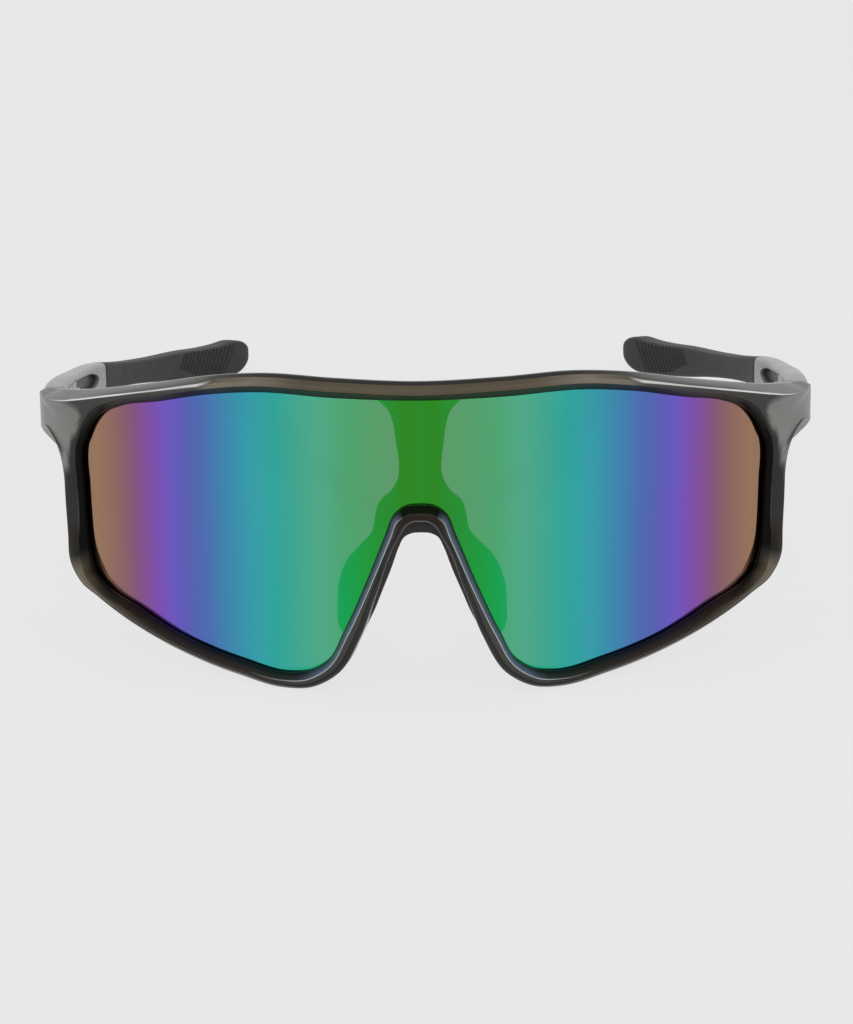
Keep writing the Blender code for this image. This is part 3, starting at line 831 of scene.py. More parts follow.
@dataclass(frozen=True)
class MirrorTint:
    """A rainbow mirror coat on a tinted lens, whose colour follows the way round the face."""

    name: str
    stops: Stops
    reach: float
    passed: Stops
    clearness: float = 0.30
    haze: float = 0.006
    haze_cloud: float = 30
    cloud: float = 45
    smoothness: Pair = (0.03, 0.05)

    def make(self) -> bpy.types.Material:
        """Build the finish.

        Returns:
            The material.
        """
        finish = Finish(self.name)
        outwards = finish.spread(finish.sideways(), 0, 1, (0, self.reach), "LINEAR")
        haze = finish.spread(
            finish.noise(self.haze_cloud, 1), -self.haze, self.haze, (0, 1), "LINEAR",
        )
        place = finish.add("ShaderNodeMath", {0: outwards, 1: haze}, operation="ADD").outputs[0]
        finish.set(
            Base_Color=finish.ramp(place, self.stops, "CARDINAL"), Metallic=1.0,
            Roughness=finish.spread(finish.noise(self.cloud, 1), *self.smoothness),
        )
        tint = finish.ramp(outwards, self.passed, "LINEAR")
        finish.overlay(self.clearness, finish.add("ShaderNodeBsdfTransparent", {"Color": tint}))
        return finish.material


@dataclass(frozen=True)
class LensBody:
    """The lens's own smoke-tinted plastic, seen from behind and at its edge."""

    name: str
    colour: Colour
    passed: Colour
    clearness: float = 0.88
    ior: float = 1.5
    cloud: float = 45
    smoothness: Pair = (0.03, 0.05)
    tint_cloud: float = 60
    shade: Pair = (0.96, 1.0)

    def make(self) -> bpy.types.Material:
        """Build the finish.

        Returns:
            The material.
        """
        finish = Finish(self.name)
        finish.set(
            Base_Color=opaque(self.colour), IOR=self.ior,
            Roughness=finish.spread(finish.noise(self.cloud, 1), *self.smoothness),
        )
        tint = finish.base(self.passed, finish.spread(finish.noise(self.tint_cloud), *self.shade))
        finish.overlay(self.clearness, finish.add("ShaderNodeBsdfTransparent", {"Color": tint}))
        return finish.material


@dataclass(frozen=True)
class SoftRubber:
    """Matt rubber with a fine moulded grain."""

    name: str
    colour: Colour | None
    roughness: float = 0.62
    unevenness: float = 0.08
    ior: float = 1.35
    sheen: Pair = (0.04, 0.4)
    cloud: float = 220
    shade: Pair = (0.85, 1.12)
    grain: float = 4200
    relief: Pair = (0.25, 0.00005)

    def make(self) -> bpy.types.Material:
        """Build the finish.

        Returns:
            The material.
        """
        finish = Finish(self.name)
        cloud = finish.spread(finish.noise(self.cloud), *self.shade)
        weight, softness = self.sheen
        finish.set(
            Base_Color=finish.base(self.colour, cloud),
            Roughness=finish.spread(
                finish.noise(self.grain), self.roughness - self.unevenness,
                self.roughness + self.unevenness,
            ),
            IOR=self.ior, Sheen_Weight=weight, Sheen_Roughness=softness,
        )
        finish.relief(finish.noise(self.grain, 2), *self.relief)
        return finish.material


@dataclass(frozen=True)
class BrushedSteel:
    """Steel with fine rolling marks along the strip."""

    name: str
    colour: Colour
    roughness: Pair = (0.20, 0.38)
    shade: Pair = (0.82, 1.05)
    grain: float = 5000
    grain_stretch: tuple[float, float, float] = (1, 0.08, 1)
    relief: Pair = (0.1, 0.00002)

    def make(self) -> bpy.types.Material:
        """Build the finish.

        Returns:
            The material.
        """
        finish = Finish(self.name)
        marks = finish.noise(self.grain, 2, self.grain_stretch)
        finish.set(
            Base_Color=finish.base(self.colour, finish.spread(marks, *self.shade)), Metallic=1.0,
            Roughness=finish.spread(marks, *self.roughness),
        )
        finish.relief(marks, *self.relief)
        return finish.material


@dataclass(frozen=True)
class Station:
    """One place round the lens opening, on the flat strip."""

    inside: Vector
    outside: Vector
    outwards: Vector
    inwards: Vector
    row: float


@dataclass
class RimLine:
    """The lens opening and the rim's outer edge."""

    lens_arc: float = 0.0688
    lens_rise: float = 0.0221
    lens_drop: float = 0.0275
    reach: float = 0.0860
    endpiece_top: float = 0.0181
    endpiece_bottom: float = 0.0098
    steps: int = 10
    nose_rows: Pair = (24.6, 26.5)
    nose_steps: Table = (
        (24.6, -0.0005), (25.15, -0.0001), (25.6, 0.00035), (26.05, 0.0006), (26.5, 0.0009),
    )
    opening_shares: Table = (
        (0.000, 0.961), (0.218, 0.978), (0.407, 1.003), (0.552, 0.961),
        (0.703, 0.872), (0.843, 0.794), (0.929, 0.690), (0.972, 0.563),
        (0.991, 0.474), (1.006, 0.403), (1.011, 0.339), (1.012, 0.226),
        (1.008, 0.113), (1.006, 0.000), (1.004, -0.109), (1.000, -0.258),
        (0.990, -0.411), (0.967, -0.527), (0.926, -0.595), (0.814, -0.689),
        (0.654, -0.839), (0.480, -0.951), (0.349, -1.009), (0.288, -0.987),
        (0.243, -0.916), (0.196, -0.709), (0.145, -0.429), (0.089, -0.087),
        (0.067, 0.052), (0.035, 0.122), (0.000, 0.134),
    )
    widths: Table = (
        (0, 0.0029), (1, 0.0030), (2, 0.00295), (3, 0.00305), (4, 0.00325), (5, 0.00335),
        (14, 0.0045), (15, 0.0046), (16, 0.0053), (17, 0.0042), (18, 0.0032), (19, 0.0035),
        (20, 0.0029), (21, 0.0028), (22, 0.0027), (23, 0.0028), (24, 0.0030), (25, 0.0031),
        (26, 0.0025), (27, 0.0023), (28, 0.0029), (30, 0.0028),
    )
    endpiece_shares: Table = (
        (6, 0.075, 1.113), (7, 0.650, 0.978), (8, 1.000, 0.840), (9, 1.000, 0.400),
        (10, 1.000, 0.022), (11, 0.620, 0.000), (12, 0.416, -0.265), (13, 0.314, -0.783),
    )

    @cached_property
    def stations(self) -> list[Station]:
        """Walk once round the opening.

        Returns:
            The stations, down the +X side and back up the -X side.
        """
        half = []
        for along, height in self.opening_shares:
            scale = self.lens_rise if height > 0 else self.lens_drop
            half.append(Vector((along * self.lens_arc, height * scale)))
        last = len(half) - 1
        rows = [*range(last + 1), *range(last - 1, 0, -1)]
        signs = [1] * (last + 1) + [-1] * (last - 1)
        opening = [Vector((half[row].x * sign, half[row].y)) for row, sign in zip(rows, signs)]
        reach = self.reach - JOINT_GAP / 2
        rise = self.endpiece_top - self.endpiece_bottom
        endpiece = {
            row: Vector((
                self.lens_arc + (reach - self.lens_arc) * along,
                self.endpiece_bottom + rise * height,
            ))
            for row, along, height in self.endpiece_shares
        }
        outer = []
        for index, (row, sign) in enumerate(zip(rows, signs)):
            if row in endpiece:
                outer.append(Vector((endpiece[row].x * sign, endpiece[row].y)))
                continue
            outer.append(opening[index] + square_to(opening, index) * blend(self.widths, row))
        inner_curve = spline(opening, self.steps, closed=True)
        outer_curve = spline(outer, self.steps, closed=True)
        for outside in outer_curve:
            outside.x = max(-reach, min(reach, outside.x))
        made = []
        for index, (inside, outside) in enumerate(zip(inner_curve, outer_curve)):
            outwards = square_to(inner_curve, index)
            inwards = -square_to(outer_curve, index)
            place = index / self.steps
            row = place if place <= last else 2 * last - place
            made.append(Station(inside, outside, outwards, inwards, row))
        return made

    def nose_edge(self, step: float = 0) -> list[Vector]:
        """Draw the line that the nosepiece's legs follow beside the nose.

        Args:
            step: How much further out from the opening it runs.

        Returns:
            Its points, from the foot up.
        """
        low, high = self.nose_rows
        return [
            place.outside - place.inwards * (step + blend(self.nose_steps, place.row))
            for place in self.stations
            if low <= place.row <= high and place.inside.x > 0
        ]

    @property
    def arch_top(self) -> float:
        """Return the height of the nose arch's outer edge."""
        return max(place.outside.y for place in self.stations if place.row > self.nose_rows[1])


@dataclass
class Hinge:
    """One side's hinge: two leaves with knuckles, a pin and four leaf screws."""

    shop: Workshop
    reach: float
    seat_back: float
    height: float = 0.0133
    axis_depth: float = 0.0042
    barrel_radius: float = 0.0015
    barrel_length: float = 0.0050
    pin_radius: float = 0.0007
    pin_head_radius: float = 0.0012
    pin_head_length: float = 0.0006
    leaf_thickness: float = 0.0010
    leaf_height: float = 0.0044
    frame_leaf: float = 0.0098
    temple_leaf: float = 0.0190
    recess: float = 0.0015
    overrun: float = 0.002
    turning_gap: float = 0.0001
    knuckle_gap: float = 0.0002
    head_radius: float = 0.0011
    head_length: float = 0.0006
    shank_radius: float = 0.0005
    shank_length: float = 0.0030
    screw_clearance: float = 0.0002
    screw_edge: float = 0.0020
    frame_pitch: float = 0.0042
    temple_pitch: float = 0.0070
    edge_rounding: float = 0.00015
    knuckle_sides: int = 40
    knuckle_taper: float = 0.93
    slot_turn: float = math.radians(25)
    slot_reach: float = 1.5
    slot_width: float = 0.00028

    @property
    def axes(self) -> Matrix:
        """Return the hinge axis's local axes."""
        return self.shop.strip.axes(self.reach, self.height, -self.axis_depth)

    @property
    def frame_screws(self) -> Pair:
        """Return where the frame's leaf screws sit along the strip."""
        first = self.reach - self.frame_leaf + self.screw_edge
        return first, first + self.frame_pitch

    @property
    def temple_screws(self) -> Pair:
        """Return where the temple's leaf screws sit along the strip."""
        last = self.reach + self.temple_leaf - self.screw_edge
        return last - self.temple_pitch, last

    def shape(self) -> Shape:
        """Return a new shape on the strip."""
        return Shape(self.shop.strip)

    def seat(self, length: float, height: float, direction: int) -> Shape:
        """Shape the cutter for a leaf's seat.

        Args:
            length: The leaf's length.
            height: The height of what it takes in.
            direction: +1 on the temple, -1 on the frame.

        Returns:
            The cutter.
        """
        near = self.reach - direction * self.overrun
        far = self.reach + direction * (length + JOINT_GAP)
        half = height / 2 + JOINT_GAP
        return self.shape().box(
            min(near, far), max(near, far), self.height - half, self.height + half,
            self.recess - self.seat_back, -self.seat_back - self.overrun,
        )

    def screw_axes(self, place: float) -> Matrix:
        """Set up the axes of a leaf screw.

        Args:
            place: Where it passes along the strip.

        Returns:
            Its axes, with Z inwards from the leaf's inner face.
        """
        inside = self.recess - self.seat_back - JOINT_GAP - self.leaf_thickness
        turn = Matrix.Rotation(math.pi / 2, 4, "X")
        return self.shop.strip.axes(place, self.height, inside) @ turn

    def hole(self, place: float) -> Shape:
        """Shape the cutter for one screw's hole.

        Args:
            place: Where the screw passes along the strip.

        Returns:
            The cutter.
        """
        return self.shape().cylinder(
            self.shank_radius + self.screw_clearance, -self.shank_length - JOINT_GAP,
            self.leaf_thickness, self.screw_axes(place),
        )

    def leaf(self, length: float, direction: int) -> Shape:
        """Shape a leaf's flat part, with rounded edges.

        Args:
            length: Its length.
            direction: +1 on the temple, -1 on the frame.

        Returns:
            The shape.
        """
        near = self.reach + direction * JOINT_GAP * 3 / 2
        far = self.reach + direction * length
        outside = self.recess - self.seat_back - JOINT_GAP
        half = self.leaf_height / 2
        return self.shape().box(
            min(near, far), max(near, far), self.height - half, self.height + half,
            outside, outside - self.leaf_thickness, self.edge_rounding,
        )

    def knuckle(self, low: float, high: float, direction: int) -> Shape:
        """Shape a barrel with the web that joins it to its leaf.

        Args:
            low: Its lower end, from the middle of the hinge.
            high: Its upper end.
            direction: +1 on the temple, -1 on the frame.

        Returns:
            The shape.
        """
        top = self.axis_depth - self.seat_back + self.recess - JOINT_GAP - self.leaf_thickness / 2
        start = math.asin(JOINT_GAP / self.barrel_radius)
        last = self.knuckle_sides - 1
        outline = [(JOINT_GAP, top)]
        for index in range(self.knuckle_sides):
            angle = start - index * (start + 3 * math.pi / 2) / last
            outline.append((self.barrel_radius * math.sin(angle), self.barrel_radius * math.cos(angle)))
        outline.append((self.barrel_radius, top))
        drawn = (
            (low, self.knuckle_taper), (low + self.edge_rounding, 1),
            (high - self.edge_rounding, 1), (high, self.knuckle_taper),
        )
        axes = self.axes
        rings = []
        for height, share in drawn:
            rings.append([
                axes @ Vector((x * share * direction, y * share, height)) for x, y in outline
            ])
        return self.shape().sweep(rings, capped=True)

    def screw(self, place: float) -> Shape:
        """Turn a screw with a domed head.

        Args:
            place: Where it passes along the strip.

        Returns:
            The shape.
        """
        head = JOINT_GAP + self.head_length
        rows = (
            (-self.shank_length, self.shank_radius), (JOINT_GAP, self.shank_radius),
            (JOINT_GAP, self.head_radius), (head - self.screw_clearance, self.head_radius),
            (head - self.screw_clearance / 2, self.head_radius - self.screw_clearance / 3),
            (head - self.screw_clearance / 6, self.head_radius - self.screw_clearance),
            (head, self.head_radius / 2),
        )
        return self.shape().turned(rows, self.screw_axes(place))

    def slot(self, place: float) -> Shape:
        """Shape the cutter for the slot in a screw's head.

        Args:
            place: Where the screw passes along the strip.

        Returns:
            The cutter.
        """
        shape = self.shape()
        top = Matrix.Translation((0, 0, JOINT_GAP + self.head_length))
        size = Matrix.Diagonal((
            self.head_radius * self.slot_reach, self.slot_width, self.head_length, 1,
        ))
        turn = Matrix.Rotation(self.slot_turn, 4, "Z")
        bmesh.ops.create_cube(shape.bm, size=1, matrix=self.screw_axes(place) @ turn @ top @ size)
        return shape

    def pin(self) -> Shape:
        """Turn the headed pin that the temple swings on.

        Returns:
            The shape.
        """
        top = self.barrel_length / 2 + JOINT_GAP
        end = top + self.pin_head_length
        rows = (
            (-self.barrel_length / 2, self.pin_radius - self.turning_gap),
            (-self.barrel_length / 2 + self.turning_gap, self.pin_radius),
            (top, self.pin_radius), (top, self.pin_head_radius),
            (end - self.turning_gap * 2, self.pin_head_radius),
            (end - self.turning_gap / 2, self.pin_head_radius - self.turning_gap),
            (end, self.pin_head_radius - self.turning_gap * 3),
        )
        return self.shape().turned(rows, self.axes)

    def build_leaf(self, name: str, length: float, direction: int, spans: Table,
                   screws: tuple[float, ...], side: Side) -> bpy.types.Mesh:
        """Join a leaf and its knuckles, and bore them.

        Args:
            name: The piece's name.
            length: The leaf's length.
            direction: +1 on the temple, -1 on the frame.
            spans: The knuckles' lowest and highest places.
            screws: Where the screws pass.
            side: The side that it goes on.

        Returns:
            The mesh.
        """
        shop = self.shop
        leaf = shop.mesh(name, self.leaf(length, direction), side)
        knuckles = [shop.mesh("knuckle", self.knuckle(low, high, direction), side)
                    for low, high in spans]
        joined = shop.carve(leaf, knuckles, Boolean.JOIN)
        half = self.barrel_length / 2 + self.overrun
        bore = self.shape().cylinder(self.pin_radius + self.turning_gap, -half, half, self.axes)
        cutters = [shop.mesh("bore", bore, side)]
        cutters.extend(shop.mesh("hole", self.hole(place), side) for place in screws)
        return shop.carve(joined, cutters, Boolean.CUT)

    def build(self, side: Side, steel: bpy.types.Material) -> None:
        """Build one side's hinge.

        Args:
            side: The side that it goes on.
            steel: The finish of all its pieces.
        """
        shop, name = self.shop, side.value
        end = self.barrel_length / 2
        inner = self.barrel_length / 3 / 2 - self.knuckle_gap / 2
        outer = inner + self.knuckle_gap
        halves = (
            ("frame", "front", self.frame_leaf, -1, ((-end, -outer), (outer, end)), self.frame_screws),
            ("temple", side.body, self.temple_leaf, 1, ((-inner, inner),), self.temple_screws),
        )
        pieces = []
        for half, body, length, direction, spans, screws in halves:
            node = f"{half}_hinge_{name}"
            mesh = self.build_leaf(node, length, direction, spans, screws, side)
            pieces.append((node, body, mesh))
        pieces.append((f"hinge_pin_{name}", "front", shop.mesh("pin", self.pin(), side)))
        for half, body, _, _, _, screws in halves:
            for number, place in enumerate(screws, start=1):
                screw = shop.mesh("screw", self.screw(place), side)
                slot = shop.mesh("slot", self.slot(place), side)
                mesh = shop.carve(screw, [slot], Boolean.CUT)
                pieces.append((f"{half}_screw_{name}_{number}", body, mesh))
        for node, body, mesh in pieces:
            shop.place(mesh, steel, body, "hinge_steel", node)


class Line(IntEnum):
    """The main lines of the rim's section, each with the column of its tone in the table of the
    plastic's colours and painted light.
    """

    LIP = 0
    RIDGE = 2
    FACE = 3
    FOLD = 5
    CREASE = 7
    EDGE = 9
    BACK = 10


@dataclass
class FrameFront:
    """The rim and the two endpieces, moulded in one piece."""

    shop: Workshop
    line: RimLine
    hinge: Hinge
    lens_thickness: float = 0.0020
    groove_depth: float = 0.0011
    lip_depth: float = 0.0009
    back_depth: float = 0.0033
    endpiece_back: float = 0.0024
    edge_chamfer: float = 0.0006
    rounding: float = 0.00025
    rounding_steps: int = 3
    face_steps: int = 10
    face_bend: float = 1.7
    face_shades: Table = ((0.7, 0), (1.4, 1))
    endpiece_rows: Table = ((5, 0), (7, 1), (13, 1), (14, 0))
    ridges: Table = (
        (0, 0.0030), (2.8, 0.0030), (3.2, 0.0028), (4, 0.0025), (5, 0.0024), (6, 0.0022), (7, 0.0018),
        (8, 0.0015), (9, 0.0014), (14, 0.0014), (15, 0.0017), (16, 0.0022), (17, 0.0026),
        (21, 0.0027), (23, 0.0030), (30, 0.0030),
    )
    bevels: Table = (
        (0, 0.00120), (1, 0.00140), (2, 0.00140), (3, 0.00120), (6, 0.00100), (8, 0.00115),
        (14, 0.00130), (16, 0.00110), (17.5, 0.00085), (21, 0.00085), (23, 0.00110), (30, 0.00115),
    )
    folds: Table = (
        (0, 0.00100, 0.0010), (2.85, 0.00100, 0.0010), (3.1, 0.00140, 0.0026), (4, 0.00132, 0.0027),
        (5, 0.00145, 0.0027), (6, 0.00175, 0.0028), (6.4, 0.00190, 0.0029), (7, 0.00160, 0.0029),
        (7.6, 0.00120, 0.0029), (8, 0.00090, 0.0028), (10, 0.00090, 0.0028), (10.4, 0.00130, 0.0027),
        (12.6, 0.00130, 0.0024), (13.6, 0.00065, 0.0022), (16, 0.00090, 0.0022), (18, 0.00120, 0.0020),
        (21, 0.00120, 0.0021), (23, 0.00090, 0.0029), (30, 0.00085, 0.0029),
    )
    creases: Table = (
        (0, 0.00045, -0.0004), (2.85, 0.00045, -0.0004), (3.1, 0.00090, 0.0016),
        (4, 0.00100, 0.0021), (5, 0.00108, 0.0023), (6, 0.00145, 0.0025), (6.4, 0.00178, 0.0028),
        (7, 0.00120, 0.0028), (7.6, 0.00070, 0.0028), (8, 0.00050, 0.0028), (10, 0.00050, 0.0028),
        (10.4, 0.00100, 0.0027), (12.6, 0.00100, 0.0024), (13.6, 0.00035, 0.0022),
        (16, 0.00060, 0.0022), (18, 0.00095, 0.0020), (21, 0.00095, 0.0021), (23, 0.00062, 0.0029),
        (30, 0.00060, 0.0029),
    )
    edges: Table = (
        (0, -0.0016), (3, -0.0016), (4, -0.0010), (5, -0.0007), (7, -0.0002), (8, 0.0020),
        (10, 0.0020), (10.6, 0.0012), (12.6, 0.0010), (14, 0.0014), (16, 0.0012), (18, 0.0008),
        (21, 0.0008), (23, 0.0018), (30, 0.0018),
    )
    # Distances from the ridge over which the face moves from its column 3 tone to its column 4 tone; on
    # the endpieces this is a dark painted shade beside the lens giving way to the grey face.
    shades: Table = (
        (6, 0.0030), (6.6, 0.0012), (7, 0.0008), (8, 0.0009), (9, 0.0012), (10, 0.0016),
        (11, 0.0021), (12, 0.0028), (13, 0.0045), (14, 0.0060),
    )
    # Each row gives the tones of the section's ten columns, from the lip to the edge, at a row round the
    # rim. Besides the plastic's own olive, umber, bronze and grey, the table paints light: black lips
    # and bevels are painted shade; silver and white strips and ridge lines, and the silver and steel
    # lines on the lower edges, are painted highlights; bronze on the lower outer corners is a painted
    # highlight; lavender on the nose legs' bevels is a painted reflection of the lens; the black corner
    # at row 10.2 is a painted shadow; and the grey and stone facets that face up are partly painted
    # light.
    tones_and_painted_light: tuple[tuple[float, str], ...] = (
        (0.0, "shadow moss black olive olive olive olive umber shadow shadow"),
        (1.4, "shadow moss black olive olive olive olive umber shadow shadow"),
        (2.1, "shadow moss umber bronze bronze bronze bronze olive shadow shadow"),
        (2.9, "shadow moss umber bronze olive olive olive ash slate slate"),
        (3.1, "shadow umber ash ash steel steel silver ash slate ash"),
        (3.5, "shadow slate ash ash ash ash silver ash slate steel"),
        (4.0, "shadow ash slate ash ash ash silver ash slate stone"),
        (5.0, "shadow ash umber ash ash ash white steel ash stone"),
        (6.0, "black slate slate ash ash slate white silver stone stone"),
        (6.4, "black slate slate ash grey ash silver silver stone stone"),
        (6.7, "black slate slate ash grey grey grey grey stone stone"),
        (8.0, "black black slate slate grey grey grey grey stone stone"),
        (9.8, "black black slate slate grey grey grey grey grey grey"),
        (10.2, "black black slate slate grey grey steel slate black black"),
        (10.6, "black black slate slate grey grey steel silver slate silver"),
        (12.6, "black black slate slate grey grey steel silver slate silver"),
        (13.4, "black black ash slate slate slate slate slate black slate"),
        (14.5, "black black ash slate slate slate slate slate slate slate"),
        (15.2, "black black black umber umber umber umber ash ash ash"),
        (15.9, "black black black shadow shadow umber slate ash grey silver"),
        (16.6, "black olive olive bronze bronze bronze ash slate silver silver"),
        (17.2, "black olive olive bronze bronze bronze olive slate grey grey"),
        (18.2, "black umber olive olive olive olive umber slate ash steel"),
        (19.6, "black umber umber umber umber olive umber steel ash steel"),
        (21.3, "black umber umber umber umber umber umber steel ash ash"),
        (22.4, "black slate silver ash slate slate slate slate slate slate"),
        (23.4, "black lavender white ash slate slate slate slate slate slate"),
        (27.2, "black lavender white ash slate slate slate slate slate slate"),
        (28.0, "black lavender silver umber umber umber umber umber slate slate"),
        (28.6, "black black umber umber umber umber umber shadow shadow shadow"),
        (30.0, "black black umber umber umber umber umber shadow shadow shadow"),
    )

    def lines(self, place: Station) -> dict[str, tuple[Vector, float]]:
        """Find where the section's main lines run at a station.

        Args:
            place: The station.

        Returns:
            Each line's flat point and depth, by name.
        """
        row, inside, outside = place.row, place.inside, place.outside
        room = (outside - inside).length - blend(self.bevels, row)
        fold = min(blend(self.folds, row), room - self.rounding)
        crease = min(blend(self.creases, row), fold - self.rounding)
        return {
            "lip": (inside, self.lip_depth),
            "ridge": (inside + place.outwards * blend(self.bevels, row), blend(self.ridges, row)),
            "fold": (outside + place.inwards * fold, blend(self.folds, row, 2)),
            "crease": (outside + place.inwards * crease, blend(self.creases, row, 2)),
            "edge": (outside, blend(self.edges, row)),
        }

    def section(self, place: Station) -> tuple[list[Vector], list[float]]:
        """Return the rim's section at a station.

        Args:
            place: The station.

        Returns:
            The (u, z, d) points and, for each, the number of its tone column (colour and painted light),
            in parts where two mix.
        """
        row, inside, outside = place.row, place.inside, place.outside
        on_endpiece = blend(self.endpiece_rows, row)
        back = self.back_depth + (self.endpiece_back - self.back_depth) * on_endpiece
        near = inside + place.outwards * self.edge_chamfer
        far = outside + place.inwards * self.edge_chamfer
        behind = -self.lens_thickness - JOINT_GAP
        bottom = inside + place.outwards * self.groove_depth
        soft = self.rounding
        lines = self.lines(place)
        (ridge, depth), (fold, fold_depth) = lines["ridge"], lines["fold"]
        corners = [(*lines["lip"], soft / 3, Line.LIP), (ridge, depth, soft, Line.RIDGE)]
        shade = blend(self.shades, row)
        for step in range(1, self.face_steps):
            share = (step / self.face_steps) ** self.face_bend
            level = depth + (fold_depth - depth) * share + soft * 2 * share * (1 - share)
            point = ridge.lerp(fold, share)
            far_side = blend(self.face_shades, (point - ridge).length / shade)
            corners.append((point, level, 0, Line.FACE + far_side))
        corners += [
            (fold, fold_depth, soft / 2, Line.FOLD), (*lines["crease"], soft / 2, Line.CREASE),
            (*lines["edge"], soft, Line.EDGE), (outside, self.edge_chamfer - back, soft, Line.BACK),
            (far, -back, soft, Line.BACK),
        ]
        for step in range(1, self.face_steps):
            share = step / self.face_steps
            level = -back + (back - self.back_depth) * share
            corners.append((far.lerp(near, share), level, 0, Line.BACK))
        corners += [
            (near, -self.back_depth, soft, Line.BACK),
            (inside, self.edge_chamfer - self.back_depth, soft, Line.BACK),
            (inside, behind, 0, Line.BACK), (bottom, behind, 0, Line.BACK),
            (bottom, JOINT_GAP, 0, Line.BACK), (inside, JOINT_GAP, 0, Line.LIP),
        ]
        outline = [(point.x, point.y, level) for point, level, _, _ in corners]
        radii = [radius for _, _, radius, _ in corners]
        numbers = []
        for _, _, radius, number in corners:
            if radius and number in (Line.RIDGE, Line.FOLD, Line.CREASE):
                numbers += [number - 1, *[number] * (self.rounding_steps - 1), number + 1]
            else:
                numbers += [number] * (self.rounding_steps + 1 if radius else 1)
        return soften(outline, radii, self.rounding_steps), numbers

    def tone_and_painted_light(self, row: float, number: float) -> Colour:
        """Mix the plastic's colour with its painted highlights, painted shade and painted lens
        reflections at a place of the rim.

        Args:
            row: The station's row.
            number: The number of its tone, as the section gives it.

        Returns:
            The colour.
        """
        if number > Line.EDGE:
            return TONES_AND_PAINTED_LIGHT["slate"]
        last, following, share = between(self.tones_and_painted_light, row)
        mixes = []
        for column in (math.floor(number), math.ceil(number)):
            first, second = (Vector(TONES_AND_PAINTED_LIGHT[names.split()[column]]) for _, names in (last, following))
            mixes.append(first.lerp(second, share))
        return tuple(mixes[0].lerp(mixes[1], number - math.floor(number)))

    def build(self, plastic: bpy.types.Material) -> None:
        """Build the rim, cut its hinge seats, drill its screw holes and give it its tones, painted light
        included.

        Args:
            plastic: Its finish.
        """
        shop, hinge = self.shop, self.hinge
        sections = [self.section(place) for place in self.line.stations]
        rings = [[shop.strip.wrap(*points[index]) for points, _ in sections]
                 for index in range(len(sections[0][0]))]
        marks = []
        for index, ring in enumerate(rings):
            for place, (_, numbers), point in zip(self.line.stations, sections, ring):
                marks.append((point, self.tone_and_painted_light(place.row, numbers[index])))
        mesh = shop.mesh("rim", Shape(shop.strip).sweep(rings, capped=False), Side.RIGHT, foot=True)
        cutters = []
        for side in Side:
            for place in hinge.frame_screws:
                cutters.append(shop.mesh("hole", hinge.hole(place), side))
            seat = hinge.seat(hinge.frame_leaf, hinge.barrel_length, -1)
            cutters.append(shop.mesh("seat", seat, side))
        mesh = shop.carve(mesh, cutters, Boolean.CUT)
        shop.tint(mesh, marks, Side.RIGHT)
        shop.place(mesh, plastic, "front", "smoke_plastic", "frame_front")


@dataclass
class ShieldLens:
    """The one-piece lens, which sits in the rim's groove."""

    shop: Workshop
    line: RimLine
    thickness: float = 0.0020
    groove_depth: float = 0.0011
    coat_limit: float = 0.5

    def build(self, coat: bpy.types.Material, body: bpy.types.Material) -> None:
        """Build the lens, with its coat on the front face only.

        Args:
            coat: The finish of the front face.
            body: The finish of the back and the edge.
        """
        outline = []
        for place in self.line.stations[::2]:
            point = place.inside + place.outwards * (self.groove_depth - JOINT_GAP)
            outline.append((point.x, point.y))
        shape = Shape(self.shop.strip).plate(outline, 0, -self.thickness, PLATE_STEP, 0)
        bmesh.ops.recalc_face_normals(shape.bm, faces=shape.bm.faces)
        middle = Vector((0, self.shop.strip.lens_radius))
        coated = []
        for face in shape.bm.faces:
            out = (face.calc_center_median().xy - middle).normalized()
            coated.append(face.normal.xy.dot(out) > self.coat_limit)
        mesh = self.shop.mesh("lens", shape, Side.RIGHT)
        piece = self.shop.place(mesh, coat, "front", "mirrored_lens", "shield_lens")
        piece.data.materials.append(body)
        for polygon, is_coated in zip(piece.data.polygons, coated):
            polygon.material_index = 0 if is_coated else 1


